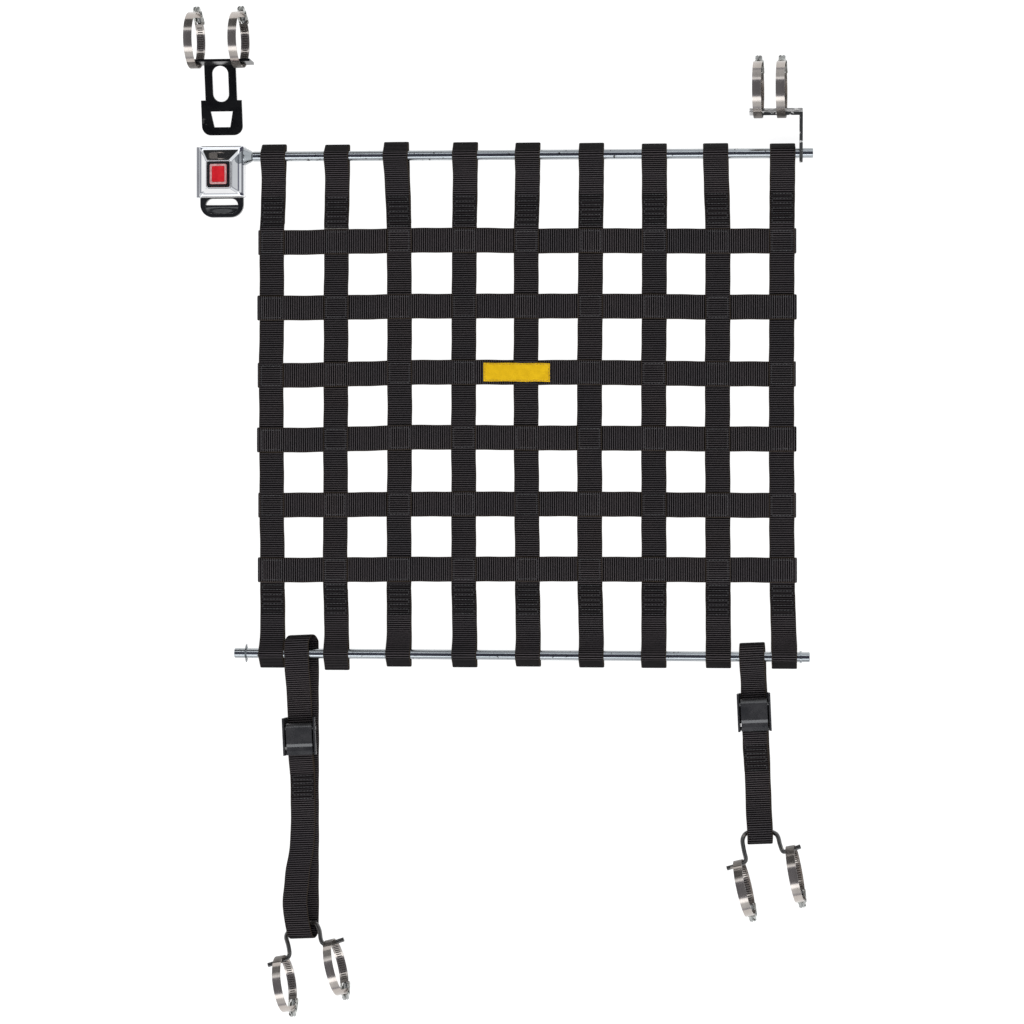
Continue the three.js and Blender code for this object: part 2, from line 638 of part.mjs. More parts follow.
function tensionStrap(strap) {
  const bar = strap.buckle.y + cam.barY;
  const onBar = cam.bar + gap + webbing.thickness / 2;
  const settled = bar - 22;
  const pastLap = strap.lapEnd - 1;
  const foldY = strap.fold + webbing.thickness / 2 + strap.foldRadius;
  const foldTop = layer(0) + 2 * strap.foldRadius;
  const rodTop = rod.height + strapOnRod;
  const rodRadius = (rodTop - layer(0)) / 2;
  const axis = rodY(bottomRod, strap.buckle.x);
  const rodFold = axis + strap.rodReach - webbing.thickness / 2 - rodRadius;
  const frontX = (point) => ({ ...point, x: eased(strap.front, point.u) });
  const backX = (point) => ({ ...point, x: eased(strap.back, point.u) });
  const sewn = [
    { u: strap.lapEnd, z: layer(1) },
    { u: settled, z: layer(1) },
    ...arc(bar, cam.barZ, onBar, -90, 90, 6),
    ...ramp({ u: bar, z: cam.barZ + onBar }, { u: settled, z: layer(2) }, 4).slice(1),
    { u: pastLap, z: layer(2) },
    ...ramp({ u: pastLap, z: layer(2) }, { u: pastLap - 15, z: layer(1) }, 2).slice(1),
    ...ramp({ u: strap.rise, z: layer(1) }, { u: strap.lifted, z: foldTop }, 5),
  ];
  const from = eased(strap.front, foldY);
  const to = eased(strap.back, foldY);
  const fold = arc(foldY, layer(0) + strap.foldRadius, strap.foldRadius, 90, 270, 8);
  const folded = fold.map((point, i) => ({ ...point, x: from + ((to - from) * i) / (fold.length - 1) }));
  const below = eased(strap.back, rodFold);
  const above = eased(strap.front, rodFold);
  const turn = arc(rodFold, layer(0) + rodRadius, rodRadius, -90, 90, 8);
  const step = (above - below) / (turn.length - 1);
  const turned = turn.map((point, i) => ({ ...point, x: below + step * i }));
  const middle = (foldY + rodFold) / 2;
  const overTail = cam.barZ + onBar + layerPitch + gap;
  const free = [
    ...ramp({ u: axis - rod.radius, z: rodTop }, { u: strap.buckle.y + 3, z: underCam }, 5),
    ...ramp({ u: strap.buckle.y + cam.pivotY - rod.radius, z: underCam }, { u: bar + 1, z: overTail }, 3),
    { u: bar - 1, z: overTail },
  ];
  const laid = ramp({ u: bar - 1, z: overTail }, { u: settled - 1, z: layer(3) + gap }, 4).slice(1);
  const tail = laid.filter(({ u }) => u > strap.tailEnd);
  const tailHeights = laid.map(({ u, z }) => ({ at: u, value: z })).reverse();
  const tailZ = eased(tailHeights, strap.tailEnd);
  const path = [
    ...sewn.map(frontX),
    ...folded,
    backX({ u: middle, z: layer(0) }),
    ...turned,
    ...[...free, ...tail, { u: strap.tailEnd, z: tailZ }].map(frontX),
  ];
  const across = new THREE.Vector3(Math.cos(strapTurn * degree), Math.sin(strapTurn * degree), 0);
  return ribbon(path.map(({ x, u, z }) => new THREE.Vector3(x, u, z)), across);
}

// Cam buckle, in its own frame: Y runs up the strap and the upper edge lies at Y = 0
function camFrame() {
  const inside = cam.halfInside;
  const bottom = webbing.thickness + gap;
  const section = new THREE.Shape([
    [-inside - cam.plate, bottom],
    [inside + cam.plate, bottom],
    [inside + cam.plate + cam.flare, cam.height],
    [inside + cam.flare, cam.height],
    [inside, cam.base],
    [-inside, cam.base],
    [-inside - cam.flare, cam.height],
    [-inside - cam.plate - cam.flare, cam.height],
  ].map(([x, y]) => new THREE.Vector2(x, y)));
  const channel = new THREE.ExtrudeGeometry(section, { depth: cam.length, bevelEnabled: false });
  channel.rotateX(90 * degree);
  const openLength = cam.length - cam.baseLength + 1;
  const opening = new THREE.BoxGeometry(2 * inside, openLength, 8);
  opening.translate(0, -cam.baseLength - openLength / 2, cam.base);
  const pin = new THREE.CylinderGeometry(cam.pin, cam.pin, 2 * (inside + cam.plate + cam.flare), 12);
  pin.rotateZ(90 * degree);
  pin.translate(0, cam.pivotY, cam.pivotZ);
  const bar = new THREE.CylinderGeometry(cam.bar, cam.bar, 2 * inside + cam.plate, 12);
  bar.rotateZ(90 * degree);
  bar.translate(0, cam.barY, cam.barZ);
  return toGeometry(toSolid(channel).subtract(toSolid(opening)).add(toSolid(pin)).add(toSolid(bar)));
}

// Lever plate seen from its side: top and underside heights along the strap
const leverPlate = [
  { y: -26, top: 16.5, underside: 14.2 },
  { y: -29.5, top: 15.3, underside: 13.2 },
  { y: -33, top: 15.2, underside: 13.1 },
  { y: -37.2, top: 16.4, underside: 14.3 },
];

function camLever() {
  const outline = new THREE.Shape();
  outline.moveTo(cam.pivotY, cam.pivotZ + cam.roll);
  leverPlate.forEach(({ y, top }) => outline.lineTo(y, top));
  [...leverPlate].reverse().forEach(({ y, underside }) => outline.lineTo(y, underside));
  outline.absarc(cam.pivotY, cam.pivotZ, cam.roll, 0.8 * Math.PI, 2.5 * Math.PI);
  const hole = new THREE.Path();
  hole.absarc(cam.pivotY, cam.pivotZ, cam.pin + gap, 0, 2 * Math.PI, true);
  outline.holes.push(hole);
  const options = { depth: cam.leverWidth, bevelEnabled: false, curveSegments: 12 };
  const geometry = new THREE.ExtrudeGeometry(outline, options);
  geometry.rotateX(90 * degree);
  geometry.rotateZ(90 * degree);
  geometry.translate(-cam.leverWidth / 2, 0, 0);
  return geometry;
}

tensionStraps.forEach((strap) => {
  add(`${strap.name}-strap`, tensionStrap(strap), materials.webbing);
  const place = new THREE.Group();
  place.position.set(strap.buckle.x, strap.buckle.y, 0);
  place.rotation.z = strapTurn * degree;
  add(`${strap.name}-buckle-frame`, camFrame(), materials.blackSteel, place);
  add(`${strap.name}-buckle-lever`, camLever(), materials.blackSteel, place);
  net.add(place);
});

// Bent wires: a bar through the strap's fold, two legs and two feet held in clamps.
// A foot lies this far (seat) from its clamp's centre.
const wire = { radius: 2.2, footZ: 21.5, barZ: 4.3 };
const wires = [
  {
    name: 'left-wire',
    points: [
      [-229, -453.6, wire.footZ],
      [-211.5, -447.4, wire.footZ],
      [-207.8, -444.5, 20.5],
      [-209.5, -436, 13.5],
      [-213.2, -425.5, 5.6],
      [-208, -420.3, wire.barZ],
      [-190, -414, wire.barZ],
      [-184.2, -412.8, 4.8],
      [-179.3, -419, 9.5],
      [-175.2, -430, 19.5],
      [-171.5, -432.4, wire.footZ],
      [-152.4, -426.8, wire.footZ],
    ],
    feet: [
      { x: -215.2, y: -448.7, plan: 10.2, lean: 4.8, seat: 23.3 },
      { x: -165.5, y: -430.7, plan: 14.3, lean: 3.3, seat: 24.4 },
    ],
  },
  {
    name: 'right-wire',
    points: [
      [228.5, -352, wire.footZ],
      [243.5, -347.2, wire.footZ],
      [247.2, -344.6, 20],
      [245.3, -335, 13],
      [244, -324, 6],
      [248, -318.6, wire.barZ],
      [272, -317.4, wire.barZ],
      [277.8, -320, 6],
      [281, -329.5, 13.5],
      [284, -335.3, 20],
      [287.5, -334.5, wire.footZ],
      [301, -329.5, wire.footZ],
    ],
    feet: [
      { x: 240.5, y: -348.2, plan: 13.4, lean: 5, seat: 23.6 },
      { x: 291.5, y: -333.0, plan: 10.7, lean: 5, seat: 24 },
    ],
  },
];
function bentWire(points) {
  const places = points.map(([x, y, z]) => new THREE.Vector3(x, y, z));
  const route = new THREE.CatmullRomCurve3(places, false, 'centripetal');
  const section = new THREE.Shape();
  section.absarc(0, 0, wire.radius, 0, 2 * Math.PI);
  const options = { steps: 34, extrudePath: route, curveSegments: 4, bevelEnabled: false };
  return new THREE.ExtrudeGeometry(section, options);
}

wires.forEach(({ name, points, feet }) => {
  add(name, bentWire(points), materials.blackSteel);
  feet.forEach(({ x, y, plan, lean, seat }, index) => {
    const rise = clampHeight(lean) - wire.footZ;
    const away = Math.sqrt(seat ** 2 - rise ** 2);
    const centre = { x: x + away * Math.sin(plan * degree), y: y - away * Math.cos(plan * degree) };
    hoseClamp(`${name}-clamp-${index + 1}`, { ...centre, plan, lean, screwEnd: -1 });
  });
});

export default net;
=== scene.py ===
# Racing window net laid flat: a black webbing net on two zinc-plated rods, with a chromed
# push-button latch, a loose tongue bracket, a hinge bracket, two cam-buckle straps on bent
# wires and eight hose clamps. Metres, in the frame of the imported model.

import math

import bmesh
import bpy
import numpy as np
from mathutils import Matrix, Vector


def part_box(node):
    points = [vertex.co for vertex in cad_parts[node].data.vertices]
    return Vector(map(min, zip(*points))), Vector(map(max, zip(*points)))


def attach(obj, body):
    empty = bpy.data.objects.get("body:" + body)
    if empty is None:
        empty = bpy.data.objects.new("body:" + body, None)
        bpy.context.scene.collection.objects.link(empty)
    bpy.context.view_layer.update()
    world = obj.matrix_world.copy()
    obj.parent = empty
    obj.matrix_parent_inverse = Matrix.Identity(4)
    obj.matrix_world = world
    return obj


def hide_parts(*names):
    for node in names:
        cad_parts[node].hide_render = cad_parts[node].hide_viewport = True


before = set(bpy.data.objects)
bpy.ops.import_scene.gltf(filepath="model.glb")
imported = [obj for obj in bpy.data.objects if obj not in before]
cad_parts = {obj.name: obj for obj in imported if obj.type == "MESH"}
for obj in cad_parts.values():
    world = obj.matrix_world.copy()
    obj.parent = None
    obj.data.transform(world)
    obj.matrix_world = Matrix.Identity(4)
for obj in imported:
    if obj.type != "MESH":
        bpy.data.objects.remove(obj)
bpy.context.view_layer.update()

# Camera: straight above the net, turned five degrees to the right of upright,
# as the photograph was taken.
CAMERA_TURN = math.radians(5)
CAMERA_DISTANCE = 2.9
CAMERA_AIM = Vector((0.014, -0.0005, 0))
SENSOR = 36
LENS = 101.95
CLIP_END = 20

camera_data = bpy.data.cameras.new("camera")
camera_data.sensor_width = SENSOR
camera_data.lens = LENS
camera_data.clip_end = CLIP_END
camera = bpy.data.objects.new("camera", camera_data)
camera.rotation_euler = (0, CAMERA_TURN, 0)
towards_camera = Vector((math.sin(CAMERA_TURN), 0, math.cos(CAMERA_TURN)))
camera.location = CAMERA_AIM + CAMERA_DISTANCE * towards_camera
bpy.context.scene.collection.objects.link(camera)
bpy.context.scene.camera = camera
bpy.context.scene.view_settings.view_transform = "Standard"

# Webbing straps: 25 mm polyester webbing with a rib every 2.2 mm and smooth woven edges.
# Each lies where its solid lies, so its route is read from the solid's cross sections.
WEBBING_WIDTH = 0.025
WEBBING_THICKNESS = 0.0015
RIB_PITCH = 0.0022
RIB_HEIGHT = 0.00016
ROWS_PER_RIB = 6
RIBBED_SHARE = 0.93
EDGE_WAVES = ((0.00012, 190, 3), (0.0001, 77, 0))
CORNER_CUT = 0.25
RIBS_FADE_AT = 0.55
RIBS_FULL_AFTER = 0.35
LEAST_RIB = 0.1
EDGE_PROFILE = (
    (-1, 0),
    (-0.97, 0.6),
    (-0.88, 0.88),
    (0.88, 0.88),
    (0.97, 0.6),
    (1, 0),
    (0.97, -0.6),
    (0.88, -0.88),
    (-0.88, -0.88),
    (-0.97, -0.6),
    (-1, 0),
)


def welded(node):
    """The node's solid with its loose triangles joined."""
    solid = bmesh.new()
    solid.from_mesh(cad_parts[node].data)
    bmesh.ops.remove_doubles(solid, verts=solid.verts, dist=1e-5)
    return solid


def rings_from(solid, first):
    """The solid's cross sections in order, from the first one on, as sets of vertices."""
    rings = [first]
    seen = set(first)
    while len(seen) < len(solid.verts):
        beside = {edge.other_vert(vert) for vert in rings[-1] for edge in vert.link_edges}
        rings.append(beside - seen)
        seen |= beside
    return rings


def middle_of(ring):
    """The mean place of some vertices, taken in a fixed order so that every run agrees."""
    places = sorted(tuple(vert.co) for vert in ring)
    return Vector(np.mean(places, axis=0))


def by_length(face):
    return sorted(face.edges, key=lambda edge: edge.calc_length())


def cut_end(solid, width, thickness):
    """The four corners of one cut end, and the direction across the strap there."""

    def misfit(face):
        short, middling, _ = (edge.calc_length() for edge in by_length(face))
        return abs(short - thickness) + abs(middling - width)

    _, wide, slanting = by_length(min(solid.faces, key=misfit))
    corners = {vert for face in slanting.link_faces for vert in face.verts}
    across = wide.verts[1].co - wide.verts[0].co
    return corners, across.normalized()


def corners_rounded(points, rounds=3):
    """The route with its corners cut, so that it bends as webbing does."""
    for _ in range(rounds):
        cut = [points[0]]
        for here, there in zip(points, points[1:]):
            cut += [here.lerp(there, CORNER_CUT), here.lerp(there, 1 - CORNER_CUT)]
        points = cut + [points[-1]]
    return points


def route_of(node, width=WEBBING_WIDTH, thickness=WEBBING_THICKNESS):
    """A strap's centre line at even steps, with the directions across it and out of its face."""
    solid = welded(node)
    first, across = cut_end(solid, width, thickness)
    if across.x + across.y < 0:
        across.negate()
    centres = corners_rounded([middle_of(ring) for ring in rings_from(solid, first)])
    solid.free()
    points = np.array([list(point) for point in centres])
    steps = np.linalg.norm(np.diff(points, axis=0), axis=1)
    travelled = np.concatenate([[0], np.cumsum(steps)])
    length = travelled[-1]
    spacing = RIB_PITCH / ROWS_PER_RIB
    along = np.linspace(0, length, round(length / spacing) + 1)
    centre = np.stack([np.interp(along, travelled, points[:, axis]) for axis in range(3)], axis=1)
    tangent = np.gradient(centre, axis=0)
    out = np.cross(np.array(across), tangent)
    out /= np.linalg.norm(out, axis=1)[:, None]
    lying_flat = np.clip((np.abs(out[:, 2]) - RIBS_FADE_AT) / RIBS_FULL_AFTER, LEAST_RIB, 1)
    return {"node": node, "centre": centre, "out": out, "along": along, "across": np.array(across),
            "width": width, "thickness": thickness, "length": length, "pressed": lying_flat}


def fabric_sheet(name, strap, material, ribs):
    """A closed strap of cloth on its route, with a UV map in metres across and along it."""
    steps = len(strap["along"]) - 1
    mesh = bpy.data.meshes.new(name)
    cloth = bmesh.new()
    cloth.loops.layers.uv.new("UVMap")
    bmesh.ops.create_grid(cloth, x_segments=len(EDGE_PROFILE) - 1, y_segments=steps, size=0.5,
                          calc_uvs=True)
    cloth.to_mesh(mesh)
    places = np.empty(len(mesh.vertices) * 3)
    mesh.vertices.foreach_get("co", places)
    places = places.reshape(-1, 3)
    profile = np.array(EDGE_PROFILE)
    around = np.rint((places[:, 0] + 0.5) * (len(profile) - 1)).astype(int)
    row = np.rint((places[:, 1] + 0.5) * steps).astype(int)
    side, face = profile[around, 0], profile[around, 1]
    along = strap["along"][row]
    rib = ribs * np.cos(2 * math.pi * along / RIB_PITCH) * strap["pressed"][row]
    rib *= np.abs(side) < RIBBED_SHARE
    lift = face * strap["thickness"] / 2 + np.sign(face) * rib
    edge = strap["width"] / 2 * side
    wave = sum(height * np.sin(along * rate + lean * side) for height, rate, lean in EDGE_WAVES)
    shift = edge + wave * np.abs(side)
    spots = strap["centre"][row] + strap["across"] * shift[:, None] + strap["out"][row] * lift[:, None]
    mesh.vertices.foreach_set("co", spots.ravel())
    uv = np.empty(len(mesh.loops) * 2)
    mesh.uv_layers[0].data.foreach_get("uv", uv)
    uv = uv.reshape(-1, 2)
    column = np.rint(uv[:, 0] * (len(profile) - 1)).astype(int)
    uv[:, 0] = profile[column, 0] * strap["width"] / 2
    uv[:, 1] *= strap["length"]
    mesh.uv_layers[0].data.foreach_set("uv", uv.ravel())
    # The rib attribute also scales the painted highlight on the rib crests and the painted shade in the
    # grooves.
    standing = mesh.attributes.new("rib", "FLOAT", "POINT")
    standing.data.foreach_set("value", strap["pressed"][row])
    cloth.clear()
    cloth.from_mesh(mesh)
    bmesh.ops.remove_doubles(cloth, verts=cloth.verts, dist=1e-6)
    bmesh.ops.holes_fill(cloth, edges=[edge for edge in cloth.edges if edge.is_boundary], sides=0)
    bmesh.ops.recalc_face_normals(cloth, faces=cloth.faces)
    return finished(name, cloth, material, sharp=70)


def finished(name, shape, material, sharp=35):
    """Turns a bmesh into an object with smooth faces and edges kept sharp past an angle."""
    mesh = bpy.data.meshes.new(name)
    shape.to_mesh(mesh)
    shape.free()
    mesh.materials.append(material)
    mesh.shade_smooth()
    mesh.set_sharp_from_angle(angle=math.radians(sharp))
    piece = bpy.data.objects.new(name, mesh)
    bpy.context.scene.collection.objects.link(piece)
    return piece


def new_material(name):
    """A material of its own, with its node tree and its shader."""
    material = bpy.data.materials.new(name)
    material.use_nodes = True
    return material, material.node_tree, material.node_tree.nodes["Principled BSDF"]


def feed(tree, node, inputs):
    """Sets a shader node's inputs, and links those given as another node's output."""
    for socket, value in inputs.items():
        if isinstance(value, bpy.types.NodeSocket):
            tree.links.new(value, node.inputs[socket])
        else:
            node.inputs[socket].default_value = value


def added(tree, kind, inputs, **settings):
    """The outputs of a new shader node."""
    node = tree.nodes.new(f"ShaderNode{kind}")
    for setting, value in settings.items():
        setattr(node, setting, value)
    feed(tree, node, inputs)
    return node.outputs


def worked(tree, operation, *values):
    return added(tree, "Math", dict(enumerate(values)), operation=operation)["Value"]


def spread(tree, source, start, end, low=0, high=1):
    """A value that goes from low to high while the source goes from start to end."""
    limits = {"From Min": start, "From Max": end, "To Min": low, "To Max": high}
    return added(tree, "MapRange", {"Value": source, **limits})["Result"]


def noise(tree, vector, scale, detail=2):
    return added(tree, "TexNoise", {"Vector": vector, "Scale": scale, "Detail": detail})["Fac"]


def mixed(tree, factor, first, second, blend="MIX"):
    inputs = {"Factor": factor, "A": first, "B": second}
    return added(tree, "Mix", inputs, data_type="RGBA", blend_type=blend)["Result"]


def ramp(tree, source, tones):
    """A colour ramp through (position, colour) pairs."""
    node = tree.nodes.new("ShaderNodeValToRGB")
    elements = node.color_ramp.elements
    while len(elements) < len(tones):
        elements.new(0.5)
    for element, (position, colour) in zip(elements, tones):
        element.position = position
        element.color = (*colour, 1)
    tree.links.new(source, node.inputs["Fac"])
    return node.outputs["Color"]


def bumped(tree, height, strength, distance=0.0001):
    inputs = {"Height": height, "Strength": strength, "Distance": distance}
    return added(tree, "Bump", inputs)["Normal"]


def webbing_cloth():
    """Black polyester with fine yarns and browner edges; its rib crests carry a painted highlight and its
    grooves painted shade.
    """
    material, tree, shader = new_material("webbing")
    uv = added(tree, "UVMap", {})["UV"]
    place = added(tree, "TexCoord", {})["Object"]
    parts = added(tree, "SeparateXYZ", {"Vector": uv})
    crest = worked(tree, "COSINE", worked(tree, "MULTIPLY", parts["Y"], 2 * math.pi / RIB_PITCH))
    rib = added(tree, "Attribute", {}, attribute_name="rib")["Fac"]
    cloud = noise(tree, place, 14, 3)
    uneven = spread(tree, cloud, 0.3, 0.7, 0.7, 1.1)
    height = worked(tree, "MULTIPLY", worked(tree, "MULTIPLY", crest, rib), uneven)
    # Painted light: crests painted lighter as a highlight and grooves darker as shade, fainter where the
    # ribs are pressed flat.
    shaded_hollow, flat, lit_crown = (0.0018, 0.0016, 0.0018), (0.006, 0.0056, 0.006), (0.09, 0.084, 0.092)
    tint = ramp(tree, spread(tree, height, -1, 1), ((0.42, shaded_hollow), (0.5, flat), (1, lit_crown)))
    warm = mixed(tree, cloud, tint, (0.6, 0.5, 0.44, 1), "MULTIPLY")
    selvedge = spread(tree, worked(tree, "ABSOLUTE", parts["X"]), 0.0112, 0.0124)
    yarns = added(tree, "TexWave", {"Vector": uv, "Scale": 420, "Distortion": 1.2}, bands_direction="X")
    relief = worked(tree, "ADD", yarns["Fac"], noise(tree, place, 2600))
    feed(tree, shader, {
        "Base Color": mixed(tree, selvedge, warm, (0.03, 0.022, 0.015, 1)),
        "Roughness": 0.7,
        "Specular IOR Level": 0.06,
        "Sheen Weight": 0.03,
        "Sheen Roughness": 0.4,
        "Normal": bumped(tree, relief, 0.5, 0.00012),
    })
    return material


def placed(piece, body, slot, *nodes):
    """Puts a piece on its body, in place of its solids. The slot is not used."""
    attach(piece, body)
    if nodes:
        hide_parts(*nodes)


webbing = webbing_cloth()
columns = [route_of(f"vertical-strap-{number}") for number in range(1, 10)]
rows = [route_of(f"cross-strap-{number}") for number in range(1, 7)]
tension_straps = [route_of("left-strap"), route_of("right-strap")]

# Stitching: heavy black bonded thread. Every crossing has a box seam, and every loop is
# closed by a block of seven rows sewn back and forth through both layers. The end of the
# second strap's top loop is heat-sealed, which leaves a pale line of fibre.
STITCH_PITCH = 0.0034
STITCH_LENGTH = 0.0027
STITCH_TAPER_FROM = 0.4
STITCH_TIP = 0.45
THREAD_RADIUS = 0.00034
THREAD_FLATNESS = 0.7
THREAD_SEAT = 0.45
BOX_HALF = 0.0098
BLOCK_HALF = 0.0098
BLOCK_ROWS = 7
ROW_STEP = 0.0048
UPPER_BLOCK = 0.0165
LOWER_BLOCK = 0.0155
BLOCK_MARGIN = 0.001
PRESSED_RIB = 0.45
TAUT_RIB = 0.82
FRONT_FIRST = 0.2
LOOK_AHEAD = 5
SEALED_END_Y = 0.2845
SEALED_STEP = 0.0022
SEALED_REACH = 5


def nearest(strap, point):
    """Index of the place on a strap's route that is nearest a point, front layers first."""
    offset = strap["centre"] - np.array(point)
    return int(np.argmin(np.hypot(offset[:, 0], offset[:, 1]) - FRONT_FIRST * strap["centre"][:, 2]))


def crossing(column, row):
    """The strap that lies on top where two straps cross, and the place along it."""
    apart = column["centre"][:, None, :2] - row["centre"][None, :, :2]
    height = column["centre"][:, None, 2] + row["centre"][None, :, 2]
    score = np.linalg.norm(apart, axis=2) - FRONT_FIRST * height
    i, j = np.unravel_index(np.argmin(score), score.shape)
    on_column = column["centre"][i, 2] > row["centre"][j, 2]
    return (column, i, row, j) if on_column else (row, j, column, i)


def on_face(strap, across, along, side=1):
    """Point on a strap's face and the face's outward direction; side 1 faces up."""
    index = np.clip(np.searchsorted(strap["along"], along), 0, len(strap["along"]) - 1)
    out = strap["out"][index] * side
    if strap["out"][index][2] < 0:
        out = -out
    point = strap["centre"][index] + strap["across"] * across + out * strap["thickness"] * THREAD_SEAT
    return Vector(point), Vector(out)


def seam(thread, strap, start, end, side=1):
    """A straight row of stitches on a strap's face, from one (across, along) place to another."""
    start, end = Vector(start), Vector(end)
    count = max(1, round((end - start).length / STITCH_PITCH))
    for number in range(count):
        spots = [start.lerp(end, (number + 0.5) / count + sign * STITCH_LENGTH / 2 / (end - start).length)
                 for sign in (-1, 1)]
        (head, out), (tail, _) = (on_face(strap, spot.x, spot.y, side) for spot in spots)
        direction = (tail - head).normalized()
        sideways = direction.cross(out)
        turn = Matrix((sideways, out, direction)).transposed().to_4x4()
        flatten = Matrix.Diagonal((1, THREAD_FLATNESS, 1, 1))
        thread.append(Matrix.Translation((head + tail) / 2) @ turn @ flatten)


def sewn(name, places, material):
    """One mesh of all the stitches at these places: six-sided, thinner where the ends go in."""
    stitch = bmesh.new()
    bmesh.ops.create_cone(stitch, segments=6, cap_ends=True, radius1=THREAD_RADIUS,
                          radius2=THREAD_RADIUS, depth=STITCH_LENGTH)
    sides = [edge for edge in stitch.edges
             if abs(edge.verts[0].co.z - edge.verts[1].co.z) > STITCH_LENGTH / 2]
    bmesh.ops.subdivide_edges(stitch, edges=sides, cuts=2, use_grid_fill=True)
    for vert in stitch.verts:
        if abs(vert.co.z) > STITCH_LENGTH * STITCH_TAPER_FROM:
            vert.co.xy *= STITCH_TIP
    one = bpy.data.meshes.new(name)
    stitch.to_mesh(one)
    stitch.free()
    total = bmesh.new()
    for place in places:
        one.transform(place)
        total.from_mesh(one)
        one.transform(place.inverted())
    return finished(name, total, material)


def sew_box(thread, strap, low, high, side=1):
    """Seams round a rectangle on a strap's face, between two (across, along) corners."""
    corners = [low, (high[0], low[1]), high, (low[0], high[1])]
    for here, there in zip(corners, corners[1:] + corners[:1]):
        seam(thread, strap, here, there, side)


def sew_block(thread, strap, places):
    """Rows of stitches across a strap, joined at alternate ends, which press its ribs flat."""
    start, end = min(places) - BLOCK_MARGIN, max(places) + BLOCK_MARGIN
    strap["pressed"][(strap["along"] > start) & (strap["along"] < end)] *= PRESSED_RIB
    for along in places:
        seam(thread, strap, (-BLOCK_HALF, along), (BLOCK_HALF, along))
    for number, (along, following) in enumerate(zip(places, places[1:])):
        edge = BLOCK_HALF if number % 2 else -BLOCK_HALF
        seam(thread, strap, (edge, along), (edge, following))


def thread_finish(name, dark, light):
    """Slightly glossy fibre, its tone uneven from stitch to stitch."""
    material, tree, shader = new_material(name)
    place = added(tree, "TexCoord", {})["Object"]
    tint = ramp(tree, noise(tree, place, 300), ((0, dark), (1, light)))
    feed(tree, shader, {"Base Color": tint, "Roughness": 0.45})
    return material


thread_black = thread_finish("thread", (0.006, 0.006, 0.0065), (0.06, 0.058, 0.06))
sealed_fibre = thread_finish("sealed_fibre", (0.1, 0.095, 0.09), (0.32, 0.3, 0.28))
net_thread = []
upper_y, lower_y = (rows[number]["centre"][:, 1].mean() for number in (0, 5))
for column in columns:
    in_net = (column["centre"][:, 1] < upper_y) & (column["centre"][:, 1] > lower_y)
    column["pressed"][in_net] *= TAUT_RIB
    for row in rows:
        top, top_place, under, under_place = crossing(column, row)
        for strap, place, side in ((top, top_place, 1), (under, under_place, -1)):
            middle = strap["along"][place]
            sew_box(net_thread, strap, (-BOX_HALF, middle - BOX_HALF), (BOX_HALF, middle + BOX_HALF), side)
    for start_y, way in ((upper_y + UPPER_BLOCK, 1), (lower_y - LOWER_BLOCK, -1)):
        place = nearest(column, (column["centre"][:, 0].mean(), start_y, 0))
        growing = column["centre"][place + LOOK_AHEAD, 1] > column["centre"][place, 1]
        step = ROW_STEP * way * (1 if growing else -1)
        start = column["along"][place]
        sew_block(net_thread, column, [start + number * step for number in range(BLOCK_ROWS)])

NET_STRAPS = (
    ("vertical", columns, "stretched", ["top-rod", "bottom-rod"]),
    ("cross", rows, "laid", []),
)
for kind, straps, held, rests in NET_STRAPS:
    for number, strap in enumerate(straps, start=1):
        piece = fabric_sheet(f"{kind}-webbing-{number}", strap, webbing, RIB_HEIGHT)
        placed(piece, "net", "webbing", strap["node"])

sealed_strap = columns[1]
sealed_place = nearest(sealed_strap, (sealed_strap["centre"][:, 0].mean(), SEALED_END_Y, 0))
sealed = []
for number in range(-SEALED_REACH, SEALED_REACH + 1):
    point, out = on_face(sealed_strap, number * SEALED_STEP, sealed_strap["along"][sealed_place])
    turn = Matrix((Vector((0, 1, 0)), out, Vector((1, 0, 0)))).transposed().to_4x4()
    sealed.append(Matrix.Translation(point) @ turn)
placed(sewn("sealed-end", sealed, sealed_fibre), "net", "webbing")
placed(sewn("net-stitching", net_thread, thread_black), "net", "webbing")

# Label: a golden yellow woven tape folded flat and sewn down along its border, left bare.
LABEL_WIDTH = 0.0185
LABEL_THICKNESS = 0.001
LABEL_BORDER = 0.0012


def label_cloth():
    """Golden yellow satin weave: fine threads both ways, a little worn and uneven."""
    material, tree, shader = new_material("label_cloth")
    uv = added(tree, "UVMap", {})["UV"]
    waves = {"Vector": uv, "Scale": 620, "Distortion": 0.8}
    weave = [added(tree, "TexWave", waves, bands_direction=direction)["Fac"] for direction in ("X", "Y")]
    crossed = worked(tree, "MULTIPLY", *weave)
    uneven = worked(tree, "ADD", crossed, noise(tree, uv, 130, 4))
    feed(tree, shader, {
        "Base Color": ramp(tree, uneven, ((0.2, (0.5, 0.27, 0.005)), (1, (0.78, 0.49, 0.012)))),
        "Roughness": 0.7,
        "Specular IOR Level": 0.05,
        "Normal": bumped(tree, crossed, 0.6),
    })
    return material


label_route = route_of("label", LABEL_WIDTH, LABEL_THICKNESS)
label = fabric_sheet("label-tape", label_route, label_cloth(), ribs=0)
placed(label, "net", "label_cloth", "label")

label_thread = []
label_edge = LABEL_WIDTH / 2 - LABEL_BORDER
sew_box(label_thread, label_route, (-label_edge, LABEL_BORDER),
        (label_edge, label_route["length"] - LABEL_BORDER))
label_fibre = thread_finish("label_thread", (0.16, 0.085, 0.006), (0.5, 0.3, 0.012))
placed(sewn("label-stitching", label_thread, label_fibre), "net", "label_cloth")

